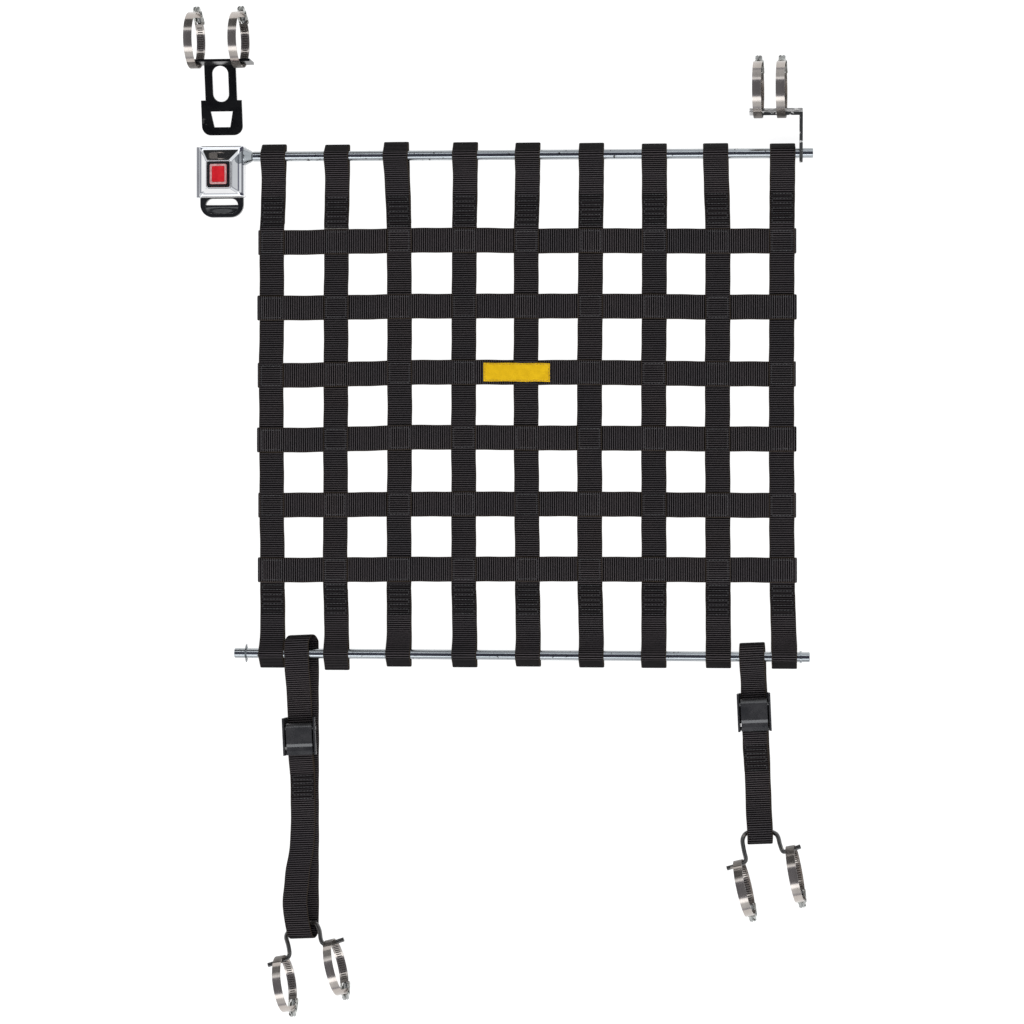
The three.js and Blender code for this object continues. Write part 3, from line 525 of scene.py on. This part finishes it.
# Tension straps: the same webbing, sewn round the buckle's bar with seven rows of stitches,
# led round the bent wire and the lower rod and back through the buckle to a cut free end.
TENSION_STRAPS = (
    {"name": "left", "block": (-0.2655, -0.2885), "rests": ["bottom-rod", "left-wire"]},
    {"name": "right", "block": (-0.2315, -0.2555), "rests": ["bottom-rod", "right-wire"]},
)
strap_thread = []
for strap, details in zip(tension_straps, TENSION_STRAPS):
    middle_x = strap["centre"][:, 0].mean()
    first, last = (strap["along"][nearest(strap, (middle_x, y, 0))] for y in details["block"])
    sew_block(strap_thread, strap, np.linspace(first, last, BLOCK_ROWS))
    piece = fabric_sheet(f"{details['name']}-tension-webbing", strap, webbing, RIB_HEIGHT)
    placed(piece, "net", "webbing", strap["node"])
placed(sewn("strap-stitching", strap_thread, thread_black), "net", "webbing")

# Rods: two 10 mm steel bars, zinc plated, with turned-down ends. A push-on star washer
# grips the lower one on the left, and a plain ring sits on its right end.
ROD_RADIUS = 0.005
ROD_CHAMFER = 0.0008
WASHER_TEETH = 12
WASHER_INNER = 0.0053
WASHER_OUTER = 0.0094
WASHER_NOTCH = 0.0078
WASHER_DISH = 0.0012
WASHER_SHEET = 0.0007
WASHER_SEAT = 0.0002
STEPS_PER_TOOTH = 4
TIP_REACH = 0.0003
SPOT_EDGE = 0.04
FINE_GRAIN = 12
SHALLOW_BEND = 15


def metal_finish(name, dark, light, roughness, grain, metallic=1.0, bump=0.15, spots=None,
                 stretch=(1, 1, 1), specular=0.5):
    """A hard finish whose colour and gloss drift over the surface, with a fine grain and, where spots are
    given as (colour, scale, threshold), worn or dirty places; on the wire the lighter tone and spots are
    partly painted highlights."""
    material, tree, shader = new_material(name)
    place = added(tree, "TexCoord", {})["Object"]
    drawn = added(tree, "Mapping", {"Vector": place, "Scale": stretch})["Vector"]
    cloud = noise(tree, drawn, grain, 5)
    colour = ramp(tree, cloud, ((0.35, dark), (0.65, light)))
    if spots:
        spot_colour, spot_scale, threshold = spots
        worn = spread(tree, noise(tree, place, spot_scale, 6), threshold, threshold + SPOT_EDGE)
        colour = mixed(tree, worn, colour, (*spot_colour, 1))
    feed(tree, shader, {
        "Base Color": colour,
        "Metallic": metallic,
        "Specular IOR Level": specular,
        "Roughness": spread(tree, cloud, 0, 1, *roughness),
        "Normal": bumped(tree, noise(tree, drawn, grain * FINE_GRAIN), bump),
    })
    return material


def turned_to(direction, place):
    """Stands a shape made along Z in another direction, at a place."""
    turn = Vector((0, 0, 1)).rotation_difference(direction).to_matrix().to_4x4()
    return Matrix.Translation(place) @ turn


def rounded(shape, edges, width, segments=2):
    bmesh.ops.bevel(shape, geom=edges, offset=width, offset_type="OFFSET", affect="EDGES",
                    segments=segments, profile=0.5, material=-1, clamp_overlap=True)


def creased(shape, angle=30):
    """The edges where the surface turns by more than this many degrees."""
    return [edge for edge in shape.edges if edge.calc_face_angle(0) > math.radians(angle)]


def fitted(piece, body, slot, *nodes):
    """Keeps flat faces flat beside rounded edges, and puts the piece in its place."""
    flats = piece.modifiers.new("flats", "WEIGHTED_NORMAL")
    flats.keep_sharp = True
    placed(piece, body, slot, *nodes)


def box_of(node):
    return [Vector(corner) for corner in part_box(node)]


def box_middle(node):
    low, high = box_of(node)
    return (low + high) / 2


zinc = metal_finish("zinc_plate", (0.33, 0.35, 0.365), (0.5, 0.525, 0.54), (0.12, 0.24), 60,
                    spots=((0.07, 0.07, 0.07), 260, 0.64), stretch=(0.12, 1, 1))
for node, name in (("top-rod", "top-bar"), ("bottom-rod", "bottom-bar")):
    solid = welded(node)
    ends = []
    for outermost in (min, max):
        tip = outermost(vert.co.x for vert in solid.verts)
        ends.append(middle_of([vert for vert in solid.verts if abs(vert.co.x - tip) < TIP_REACH]))
    start, end = ends
    solid.free()
    bar = bmesh.new()
    bmesh.ops.create_cone(bar, cap_ends=True, segments=48, radius1=ROD_RADIUS, radius2=ROD_RADIUS,
                          depth=(end - start).length)
    rounded(bar, creased(bar), ROD_CHAMFER)
    bmesh.ops.transform(bar, matrix=turned_to(end - start, (start + end) / 2), verts=bar.verts)
    fitted(finished(name, bar, zinc), "net", "zinc", node)

washer = bmesh.new()
bmesh.ops.create_circle(washer, cap_ends=False, segments=STEPS_PER_TOOTH * WASHER_TEETH,
                        radius=WASHER_INNER)
grown = bmesh.ops.extrude_edge_only(washer, edges=washer.edges)["geom"]
for vert in (item for item in grown if isinstance(item, bmesh.types.BMVert)):
    step = round(math.atan2(vert.co.y, vert.co.x) / math.tau * STEPS_PER_TOOTH * WASHER_TEETH)
    reach = WASHER_NOTCH if (step + 1) % STEPS_PER_TOOTH == 0 else WASHER_OUTER
    vert.co *= reach / WASHER_INNER
    vert.co.z = WASHER_DISH
bmesh.ops.solidify(washer, geom=washer.faces, thickness=WASHER_SHEET)
bmesh.ops.recalc_face_normals(washer, faces=washer.faces)
seat = box_middle("star-washer")
seat.x = box_of("star-washer")[0].x + WASHER_SEAT
bmesh.ops.transform(washer, matrix=turned_to(Vector((1, 0, 0)), seat), verts=washer.verts)
fitted(finished("star-push-washer", washer, zinc), "net", "zinc", "star-washer")


def dressed(node, width, segments=2, corner=0, bend=0):
    """A copy of a solid as one clean skin with its edges rounded: upright ones by the corner
    radius, the shallow bends in its upper face by the bend radius and all others by the width."""
    shape = welded(node)
    bmesh.ops.dissolve_limit(shape, angle_limit=math.radians(1), verts=shape.verts, edges=shape.edges)
    if bend:
        shallow = [edge for edge in creased(shape, SHALLOW_BEND)
                   if all(face.normal.z > 0.9 for face in edge.link_faces)]
        rounded(shape, shallow, bend, 4)
    if corner:
        upright = [edge for edge in creased(shape)
                   if abs((edge.verts[0].co - edge.verts[1].co).normalized().z) > 0.99]
        rounded(shape, upright, corner, 4)
    rounded(shape, creased(shape), width, segments)
    return shape


for node, name, width in (("end-ring", "plain-end-ring", 0.0003), ("rod-weld", "rod-weld-bead", 0.0009)):
    fitted(finished(name, dressed(node, width), zinc), "net", "zinc", node)

# Latch: a pressed steel cover with a raised pillow, chromed, on a chromed back plate, with a
# red plastic push button in a black plastic surround and a black bail below for a strap.
chrome = metal_finish("chrome_plate", (0.72, 0.72, 0.73), (0.82, 0.82, 0.83), (0.04, 0.09), 25, bump=0.02)
black_plastic = metal_finish("black_plastic", (0.004, 0.004, 0.005), (0.012, 0.012, 0.013), (0.1, 0.2), 40,
                             metallic=0.0, bump=0.05, specular=0.9)
red_plastic = metal_finish("red_plastic", (0.5, 0.007, 0.014), (0.6, 0.014, 0.02), (0.28, 0.42), 200,
                           metallic=0.0, bump=0.1)
button_rim = metal_finish("worn_rim", (0.42, 0.2, 0.2), (0.58, 0.34, 0.33), (0.3, 0.5), 300, metallic=0.0)
LATCH_PARTS = (
    ("latch-base", "latch-back-plate", chrome, "chrome", "net", 0.0009, 4, 0),
    ("latch-surround", "button-surround", black_plastic, "black_plastic", "net", 0.0005, 3, 0.0014),
    ("latch-button", "push-button", red_plastic, "red_plastic", "latch_button", 0.0003, 3, 0.0012),
    ("latch-bail", "strap-bail", black_plastic, "black_plastic", "net", 0.0014, 4, 0),
)
BEAD_RADIUS = 0.0019
BEAD_SHORT = 0.001
BEAD_SINK = 0.0001
RIM_DEPTH = 0.0004
for node, name, material, slot, body, width, segments, corner in LATCH_PARTS:
    shape = dressed(node, width, segments, corner)
    if node == "latch-base":
        low, high = box_of(node)
        bead = bmesh.ops.create_cone(shape, cap_ends=True, segments=24, radius1=BEAD_RADIUS,
                                     radius2=BEAD_RADIUS, depth=high.y - low.y - BEAD_SHORT)["verts"]
        beside = Vector((low.x + BEAD_RADIUS, (low.y + high.y) / 2, high.z - BEAD_SINK))
        bmesh.ops.transform(shape, matrix=turned_to(Vector((0, 1, 0)), beside), verts=bead)
    fitted(finished(name, shape, material), body, slot, node)

push_button = bpy.data.objects["push-button"]
push_button.data.materials.append(button_rim)
for face in push_button.data.polygons:
    if face.center.z > box_of("latch-button")[1].z - RIM_DEPTH:
        face.material_index = 1

# The pillow is one pressed sheet: a wall, a shoulder, slopes that steepen inwards, and a rim.
# Wall and rim levels give half width, half length, corner radius and height. Rims and slopes
# are centred on the button, which sits below the middle of the latch.
WALL_LEVELS = (
    (0.0224, 0.0249, 0.0015, 0.0023),
    (0.0230, 0.0255, 0.0015, 0.0030),
    (0.0230, 0.0255, 0.0015, 0.0036),
    (0.0230, 0.0255, 0.0015, 0.0082),
    (0.0230, 0.0255, 0.0016, 0.0092),
    (0.0229, 0.0254, 0.0020, 0.0101),
    (0.0226, 0.0251, 0.0026, 0.0107),
)
RIM_LEVELS = (
    (0.0129, 0.0143, 0.0026, 0.0186),
    (0.0128, 0.0142, 0.0026, 0.0194),
    (0.0125, 0.0139, 0.0024, 0.0199),
    (0.0120, 0.0134, 0.0020, 0.0200),
    (0.0115, 0.0129, 0.0016, 0.0197),
    (0.0112, 0.0126, 0.0012, 0.0190),
    (0.0111, 0.0125, 0.0010, 0.0095),
)
SLOPE_SHARES = (
    (0.12, 0.03),
    (0.28, 0.12),
    (0.42, 0.25),
    (0.55, 0.42),
    (0.7, 0.62),
    (0.85, 0.82),
    (0.95, 0.95),
)
slope_levels = []
for share, climb in SLOPE_SHARES:
    *flat, height = (wall + (rim - wall) * part for wall, rim, part
                     in zip(WALL_LEVELS[-1], RIM_LEVELS[0], (share, share, share, climb)))
    slope_levels.append((*flat, share, height))
cover_levels = [(*level[:3], 0, level[3]) for level in WALL_LEVELS]
cover_levels += slope_levels
cover_levels += [(*level[:3], 1, level[3]) for level in RIM_LEVELS]
CORNER_STEPS = 5
SLOT_FLOOR, SLOT_TOP = 0.0036, 0.0082
SLOT_DEPTH = 0.026

cover_middle = box_middle("latch-cover")
button_middle = box_middle("latch-surround")
around = 4 * (CORNER_STEPS + 1)
cover = bmesh.new()
bmesh.ops.create_grid(cover, x_segments=around, y_segments=len(cover_levels) - 1, size=0.5)
for vert in cover.verts:
    step = round((vert.co.x + 0.5) * around) % around
    level = round((vert.co.y + 0.5) * (len(cover_levels) - 1))
    half_width, half_length, corner, shift, z = cover_levels[level]
    quarter, turn = divmod(step, CORNER_STEPS + 1)
    angle = math.radians(90) * (quarter + turn / CORNER_STEPS)
    signs = ((1, 1), (-1, 1), (-1, -1), (1, -1))[quarter]
    middle = cover_middle.lerp(button_middle, shift)
    vert.co = (middle.x + signs[0] * (half_width - corner) + corner * math.cos(angle),
               middle.y + signs[1] * (half_length - corner) + corner * math.sin(angle), z)
bmesh.ops.remove_doubles(cover, verts=cover.verts, dist=1e-6)
bmesh.ops.holes_fill(cover, edges=[edge for edge in cover.edges if edge.is_boundary], sides=0)
bmesh.ops.recalc_face_normals(cover, faces=cover.faces)
mouth = [face for face in cover.faces
         if face.normal.y > 0.9 and SLOT_FLOOR < face.calc_center_median().z < SLOT_TOP]
pushed = bmesh.ops.extrude_face_region(cover, geom=mouth)["geom"]
bmesh.ops.delete(cover, geom=mouth, context="FACES_ONLY")
bmesh.ops.translate(cover, verts=[item for item in pushed if isinstance(item, bmesh.types.BMVert)],
                    vec=(0, -SLOT_DEPTH, 0))
bmesh.ops.recalc_face_normals(cover, faces=cover.faces)
fitted(finished("latch-pillow", cover, chrome, sharp=50), "net", "chrome", "latch-cover")

# Inside the bail's slot a glossy black lip slopes down from the lower edge, where the strap bears.
LIP_HALF = 0.0095
LIP_ROUND = 0.007
LIP_START = 0.0039
LIP_REACH = 0.0088
LIP_OVERLAP = 0.0004
LIP_BELOW = 0.0004
LIP_FALL = 0.0040
LIP_CROWN = 0.35
LIP_SHEET = 0.0006
low, high = box_of("latch-bail")
lip = bmesh.new()
bmesh.ops.create_grid(lip, x_segments=32, y_segments=16, size=0.5)
for vert in lip.verts:
    across, upward = vert.co.x * 2, vert.co.y + 0.5
    y = LIP_REACH * upward
    bend = math.sqrt(max(0, LIP_ROUND ** 2 - max(0, LIP_ROUND - y) ** 2))
    fall = LIP_FALL * math.sin(upward * math.radians(90)) * (1 - LIP_CROWN * across * across)
    vert.co = ((low.x + high.x) / 2 + across * (LIP_HALF + bend + LIP_OVERLAP),
               low.y + LIP_START + y, high.z - LIP_BELOW - fall)
bmesh.ops.recalc_face_normals(lip, faces=lip.faces)
bmesh.ops.solidify(lip, geom=lip.faces, thickness=LIP_SHEET)
bmesh.ops.recalc_face_normals(lip, faces=lip.faces)
fitted(finished("strap-bail-lip", lip, black_plastic), "net", "black_plastic")

# Brackets: 2.6 and 3.2 mm steel strip, painted satin black. The loose tongue bracket plugs
# into the latch. The hinge bracket has an eye that turns on the upper rod.
black_steel = metal_finish("black_paint", (0.0008, 0.0008, 0.001), (0.0025, 0.0025, 0.0026), (0.2, 0.34),
                           70, metallic=0.0, spots=((0.06, 0.058, 0.055), 90, 0.7), specular=0.4)
worn_steel = metal_finish("worn_black_paint", (0.003, 0.003, 0.0035), (0.008, 0.008, 0.008), (0.3, 0.5),
                          120, metallic=0.0, spots=((0.5, 0.49, 0.48), 130, 0.53))
BRACKETS = (
    ("tongue-bracket", "tongue-plate", black_steel, 0.0005),
    ("hinge-bracket", "hinge-plate", worn_steel, 0.0006),
)
for node, name, material, width in BRACKETS:
    fitted(finished(name, dressed(node, width), material), "net", "black_steel", node)

# Hose clamps: stainless band 8.6 mm wide, smooth over its upper half and with grooves pressed
# for the screw over its lower half, closed by a worm screw in a pressed housing.
BAND_RADIUS = 0.028
BAND_SHEET = 0.0005
BAND_WIDTH = 0.0086
BAND_MARGIN = 0.0017
SLOT_STEP = math.radians(2.5)
SMOOTH_FROM, SMOOTH_TO = math.radians(-33), math.radians(116)
SLOTTED_FROM, SLOTTED_TO = math.radians(135), math.radians(335)
GROOVE_DEPTH = 0.00035
GROOVE_SHEET = 0.0001
SLOTS_FROM, SLOTS_TO = math.radians(140), math.radians(300)
SCREW_AT = math.radians(125)
HOUSING_LENGTH = 0.0138
HOUSING_WIDTH = 0.0096
HOUSING_HEIGHT = 0.0070
SADDLE_SHEET = 0.0007
RAIL_WIDTH = 0.0022
SCREW_RADIUS = 0.0031
HEAD_RADIUS = 0.0039
HEAD_LENGTH = 0.0044
SCREW_RISE = 0.0037
SLOT_WIDTH = 0.0011
HEAD_SOLID = 0.62
HEAD_EDGE = 0.00025
HEAD_GAP = 0.0008
THREAD_PITCH = 0.0012
THREAD_LENGTH = 0.0011
THREAD_TAPER = 0.72
COLLAR_LENGTH = 0.0009
COLLAR_TAPER = 0.9
COLLAR_GAP = 0.0004
RAIL_EDGE = 0.0002
HOUSING_LIFT = 0.0004
ON_PLANE = 1e-6

stainless = metal_finish("stainless_steel", (0.4, 0.36, 0.33), (0.48, 0.435, 0.4), (0.12, 0.2), 90,
                         metallic=0.86, stretch=(1, 0.2, 0.2), bump=0.1)
# Painted shade: the floor behind the band's slots is coloured dark as the shade inside the slots.
groove_shade_steel = metal_finish("groove_shade_steel", (0.09, 0.08, 0.072), (0.17, 0.15, 0.135), (0.35, 0.5), 200,
                            metallic=0.8)
bright_steel = metal_finish("bright_screw", (0.42, 0.42, 0.4), (0.66, 0.67, 0.64), (0.25, 0.4), 160,
                            spots=((0.07, 0.06, 0.05), 330, 0.58))


def bent_strip(start, end, radius, slots=None, sheet=BAND_SHEET):
    """A strip of band bent round the clamp's axis, X, between two angles from the top."""
    inner = BAND_WIDTH / 2 - BAND_MARGIN
    bands = (-BAND_WIDTH / 2, -inner, inner, BAND_WIDTH / 2)
    steps = round((end - start) / SLOT_STEP)
    strip = bmesh.new()
    bmesh.ops.create_grid(strip, x_segments=len(bands) - 1, y_segments=steps, size=0.5)
    if slots:
        cut = []
        for face in strip.faces:
            spot = face.calc_center_median()
            within = slots[0] < start + (spot.y + 0.5) * (end - start) < slots[1]
            if within and abs(spot.x) < 0.5 / len(bands) and round((spot.y + 0.5) * steps - 0.5) % 2:
                cut.append(face)
        bmesh.ops.delete(strip, geom=cut, context="FACES")
    for vert in strip.verts:
        angle = start + (vert.co.y + 0.5) * (end - start)
        across = bands[round((vert.co.x + 0.5) * (len(bands) - 1))]
        vert.co = (across, radius * math.sin(angle), radius * math.cos(angle))
    bmesh.ops.recalc_face_normals(strip, faces=strip.faces)
    if sum(face.normal.dot(face.calc_center_median()) for face in strip.faces) < 0:
        bmesh.ops.reverse_faces(strip, faces=strip.faces)
    bmesh.ops.solidify(strip, geom=strip.faces, thickness=sheet)
    bmesh.ops.recalc_face_normals(strip, faces=strip.faces)
    return strip


def joined(parts):
    """One shape of several, which are used up."""
    whole = bmesh.new()
    carrier = bpy.data.meshes.new("carrier")
    for part in parts:
        part.to_mesh(carrier)
        whole.from_mesh(carrier)
        part.free()
    bpy.data.meshes.remove(carrier)
    return whole


def screw_housing():
    """A pressed sheet arched over the screw, with straight skirts down to the band."""
    housing = bmesh.new()
    bmesh.ops.create_cone(housing, cap_ends=False, segments=32, radius1=HOUSING_WIDTH / 2,
                          radius2=HOUSING_WIDTH / 2, depth=HOUSING_LENGTH)
    bmesh.ops.bisect_plane(housing, geom=housing.verts[:] + housing.edges[:] + housing.faces[:],
                           plane_co=(0, 0, 0), plane_no=(0, 1, 0), clear_inner=True)
    rims = [edge for edge in housing.edges
            if edge.is_boundary and all(abs(vert.co.y) < ON_PLANE for vert in edge.verts)]
    skirts = bmesh.ops.extrude_edge_only(housing, edges=rims)["geom"]
    for vert in (item for item in skirts if isinstance(item, bmesh.types.BMVert)):
        vert.co.y -= HOUSING_HEIGHT - HOUSING_WIDTH / 2
    bmesh.ops.solidify(housing, geom=housing.faces, thickness=SADDLE_SHEET)
    bmesh.ops.recalc_face_normals(housing, faces=housing.faces)
    bmesh.ops.rotate(housing, verts=housing.verts, matrix=Matrix.Rotation(math.radians(90), 3, "X"))
    bmesh.ops.translate(housing, verts=housing.verts, vec=(0, 0, HOUSING_HEIGHT - HOUSING_WIDTH / 2))
    return housing


def screw_piece(at, depth, radius, taper=1, segments=6, cut_side=0):
    """A disc or hexagon of the screw, at a place along it. A cut side keeps the part beyond the
    driver's slot there, and hexagons have their edges rounded."""
    piece = bmesh.new()
    bmesh.ops.create_cone(piece, cap_ends=True, segments=segments, radius1=radius,
                          radius2=radius * taper, depth=depth)
    if cut_side:
        bmesh.ops.bisect_plane(piece, geom=piece.verts[:] + piece.edges[:] + piece.faces[:],
                               plane_co=(cut_side * SLOT_WIDTH / 2, 0, 0), plane_no=(cut_side, 0, 0),
                               clear_inner=True)
        bmesh.ops.holes_fill(piece, edges=[edge for edge in piece.edges if edge.is_boundary], sides=0)
    if segments == 6:
        rounded(piece, creased(piece), HEAD_EDGE, 1)
    along_screw = turned_to(Vector((0, 1, 0)), (0, at, SCREW_RISE))
    bmesh.ops.transform(piece, matrix=along_screw, verts=piece.verts)
    return piece


def worm_screw():
    """Pressed housing over a worm screw with a slotted hexagon head, lying along Y at the top."""
    parts = [screw_housing()]
    rings = round(HOUSING_LENGTH / THREAD_PITCH)
    for number in range(rings):
        at = (number + 0.5) * THREAD_PITCH - rings * THREAD_PITCH / 2
        parts.append(screw_piece(at, THREAD_LENGTH, SCREW_RADIUS, THREAD_TAPER, 20))
    collar_at = HOUSING_LENGTH / 2 + COLLAR_GAP
    parts.append(screw_piece(collar_at, COLLAR_LENGTH, HEAD_RADIUS, COLLAR_TAPER, 24))
    head_start = HOUSING_LENGTH / 2 + HEAD_GAP
    for cut_side, start, end in ((0, 0, HEAD_SOLID), (1, HEAD_SOLID, 1), (-1, HEAD_SOLID, 1)):
        at = head_start + HEAD_LENGTH * (start + end) / 2
        parts.append(screw_piece(at, HEAD_LENGTH * (end - start), HEAD_RADIUS, cut_side=cut_side))
    for way in (1, -1):
        rail = bmesh.new()
        bmesh.ops.create_cube(rail, size=1)
        bmesh.ops.scale(rail, verts=rail.verts, vec=(RAIL_WIDTH, HOUSING_LENGTH, SADDLE_SHEET))
        rounded(rail, creased(rail), RAIL_EDGE, 1)
        bmesh.ops.translate(rail, verts=rail.verts, vec=(way * (HOUSING_WIDTH - RAIL_WIDTH) / 2, 0, 0))
        parts.append(rail)
    return joined(parts)


clamp_names = [node.removesuffix("-band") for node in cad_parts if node.endswith("-band")]
for clamp in clamp_names:
    ring = np.array([list(vert.co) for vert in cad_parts[f"{clamp}-band"].data.vertices])
    centre = ring.mean(axis=0)
    axis = np.linalg.svd(ring - centre, full_matrices=False)[2][2]
    away = 1 if box_middle(f"{clamp}-screw").y > centre[1] else -1
    axis = Vector(axis) * away * (1 if axis[0] > 0 else -1)
    upward = (Vector((0, 0, 1)) - axis * axis.z).normalized()
    sideways = upward.cross(axis)
    stand = Matrix.Translation(Vector(centre)) @ Matrix((axis, sideways, upward)).transposed().to_4x4()
    smooth = bent_strip(SMOOTH_FROM, SMOOTH_TO, BAND_RADIUS)
    inside = BAND_RADIUS - BAND_SHEET
    slotted = bent_strip(SLOTTED_FROM, SLOTTED_TO, inside, (SLOTS_FROM, SLOTS_TO))
    # A strip behind the slots, painted dark as the shade in them.
    grooves = bent_strip(SLOTS_FROM, SLOTS_TO, inside + GROOVE_DEPTH, sheet=GROOVE_SHEET)
    bright_faces = len(smooth.faces) + len(slotted.faces)
    band = joined([smooth, slotted, grooves])
    bmesh.ops.transform(band, matrix=stand, verts=band.verts)
    hoop = finished(f"{clamp}-hoop", band, stainless)
    hoop.data.materials.append(groove_shade_steel)
    for face in hoop.data.polygons[bright_faces:]:
        face.material_index = 1
    fitted(hoop, "net", "stainless", f"{clamp}-band")
    screw = worm_screw()
    facing = Matrix.Rotation(math.radians(180), 4, "Z")
    lift = Matrix.Translation((0, 0, BAND_RADIUS + HOUSING_LIFT)) @ facing
    on_band = stand @ Matrix.Rotation(-SCREW_AT, 4, "X") @ lift
    bmesh.ops.transform(screw, matrix=on_band, verts=screw.verts)
    fitted(finished(f"{clamp}-worm", screw, bright_steel), "net", "stainless", f"{clamp}-screw")

# Cam buckles: a folded steel channel with a pin and a bar across it, and a sprung cam lever
# that swings up on the pin to free the strap. All painted satin black.
buckle_paint = metal_finish("buckle_paint", (0.016, 0.016, 0.017), (0.032, 0.031, 0.032), (0.22, 0.32), 90,
                            metallic=0.0, spots=((0.1, 0.1, 0.1), 140, 0.74), specular=1.0)
CHANNEL_EDGE = 0.0004
LEVER_EDGE = 0.0006
LEVER_BEND = 0.0012
for side in ("left", "right"):
    folded = dressed(f"{side}-buckle-frame", CHANNEL_EDGE)
    channel = finished(f"{side}-buckle-channel", folded, buckle_paint)
    fitted(channel, "net", "black_steel", f"{side}-buckle-frame")
    pressed_plate = dressed(f"{side}-buckle-lever", LEVER_EDGE, 3, bend=LEVER_BEND)
    lever = finished(f"{side}-cam-lever", pressed_plate, buckle_paint)
    fitted(lever, f"{side}_lever", "black_steel", f"{side}-buckle-lever")

# Bent wires: 4.4 mm steel wire painted black, with a bar through the strap's fold and a foot
# at each end that a clamp holds.
WIRE_RADIUS = 0.0022
WIRE_EDGE = 0.0004
CAP_FACING = -0.85
CAP_REACH = 0.0015
# Painted highlight: the wire paint's lighter tone and pale spots stand partly for worn paint and partly
# for highlights along the wire.
wire_paint = metal_finish("wire_paint", (0.004, 0.004, 0.004), (0.03, 0.027, 0.024), (0.12, 0.22), 50,
                          metallic=0.0, spots=((0.2, 0.18, 0.16), 110, 0.62), specular=1.0)


def wire_centres(node):
    """The middle of each cross section of a bent wire, from its left end on."""
    solid = welded(node)
    left = min(vert.co.x for vert in solid.verts)
    cap = {vert for face in solid.faces for vert in face.verts
           if face.normal.x < CAP_FACING and face.calc_center_median().x < left + CAP_REACH}
    centres = [middle_of(ring) for ring in rings_from(solid, cap)]
    solid.free()
    return corners_rounded(centres, rounds=1)


for side in ("left", "right"):
    path = bpy.data.curves.new(f"{side}-wire-path", "CURVE")
    path.dimensions = "3D"
    path.bevel_depth = WIRE_RADIUS
    path.bevel_resolution = 6
    path.use_fill_caps = True
    centres = wire_centres(f"{side}-wire")
    spline = path.splines.new("POLY")
    spline.points.add(len(centres) - 1)
    for point, centre in zip(spline.points, centres):
        point.co = (*centre, 1)
    drawn = bpy.data.objects.new(f"{side}-wire-path", path)
    rod = bmesh.new()
    rod.from_mesh(drawn.to_mesh())
    bpy.data.objects.remove(drawn)
    bmesh.ops.remove_doubles(rod, verts=rod.verts, dist=1e-5)
    bmesh.ops.recalc_face_normals(rod, faces=rod.faces)
    rounded(rod, creased(rod, 60), WIRE_EDGE)
    fitted(finished(f"{side}-bent-wire", rod, wire_paint), "net", "black_steel", f"{side}-wire")

# Light: two long soft boxes beside the camera, over a lit white paper, in a pale room. What the
# bare metal mirrors is the room: bright strips along the boxes, a dark ceiling between them,
# and a dark patch that only the latch sees. Strips are given as degrees from straight up.
FLOOR_SIZE = 9
FLOOR_DROP = 0.0003
BOXES = (
    {"name": "upper-box", "place": (0.2, 1.85, 2.35), "size": (3.2, 0.6), "power": 24},
    {"name": "lower-box", "place": (0.2, -2.0, 2.2), "size": (3.2, 1.1), "power": 46},
)

for box in BOXES:
    data = bpy.data.lights.new(box["name"], "AREA")
    data.shape = "RECTANGLE"
    data.size, data.size_y = box["size"]
    data.energy = box["power"]
    light = bpy.data.objects.new(box["name"], data)
    light.location = box["place"]
    light.rotation_euler = (-light.location).to_track_quat("-Z", "Y").to_euler()
    light.visible_glossy = False
    bpy.context.scene.collection.objects.link(light)

world = bpy.data.worlds.new("room")
bpy.context.scene.world = world
world.use_nodes = True
sky = world.node_tree.nodes["Background"]
ROOM_STRIPS = (
    (-90, 0.25),
    (-76, 0.9),
    (-54, 0.9),
    (-52, 2.6),
    (-38, 2.6),
    (-34, 0.25),
    (-27, 0.08),
    (27, 0.08),
    (34, 0.22),
    (36, 1.7),
    (42, 1.7),
    (45, 0.9),
    (76, 0.9),
    (90, 0.25),
)
WALL_TONES = (
    (0.0, 0.85),
    (0.83, 0.85),
    (0.86, 0.16),
    (0.92, 0.16),
    (0.95, 0.7),
    (1.0, 0.7),
)
PATCH_X = (-0.08, -0.13)
PATCH_Y = (0.68, 0.74)
PATCH_TONE = 0.03
WALLS_X = (0.42, 0.62)
DARK_BELOW = 0.3
RED_SHARE = 0.97
BLUE_SHARE = 1.03
DARK_BLUE_SHARE = 1.3


def room_colours(tones):
    """Colours for the room's tones, cool where it is dark."""
    colours = []
    for place, tone in tones:
        blue = tone * (DARK_BLUE_SHARE if tone < DARK_BELOW else BLUE_SHARE)
        colours.append((place, (tone * RED_SHARE, tone, blue)))
    return colours


room = world.node_tree
axes = added(room, "SeparateXYZ", {"Vector": added(room, "TexCoord", {})["Generated"]})
lean = worked(room, "ARCTAN2", axes["Y"], axes["Z"])
strip_tones = [((degrees + 90) / 180, tone) for degrees, tone in ROOM_STRIPS]
strips = ramp(room, spread(room, lean, -math.pi / 2, math.pi / 2), room_colours(strip_tones))
patch = worked(room, "MULTIPLY", spread(room, axes["X"], *PATCH_X), spread(room, axes["Y"], *PATCH_Y))
shade = spread(room, patch, 0, 1, 1, PATCH_TONE)
shaded = added(room, "VectorMath", {0: strips, "Scale": shade}, operation="SCALE")["Vector"]
outward = worked(room, "ABSOLUTE", axes["X"])
walls = ramp(room, outward, room_colours(WALL_TONES))
feed(room, sky, {"Color": mixed(room, spread(room, outward, *WALLS_X), shaded, walls), "Strength": 1})

sweep = bmesh.new()
bmesh.ops.create_grid(sweep, x_segments=1, y_segments=1, size=FLOOR_SIZE / 2)
paper, paper_tree, lit_paper = new_material("paper")
feed(paper_tree, lit_paper, {
    "Base Color": (0.2, 0.2, 0.2, 1),
    "Roughness": 0.9,
    "Specular IOR Level": 0,
    "Emission Color": (1, 1, 1, 1),
    "Emission Strength": 0.93,
})
bmesh.ops.translate(sweep, verts=sweep.verts, vec=(0, 0, -FLOOR_DROP))
floor = finished("floor", sweep, paper)
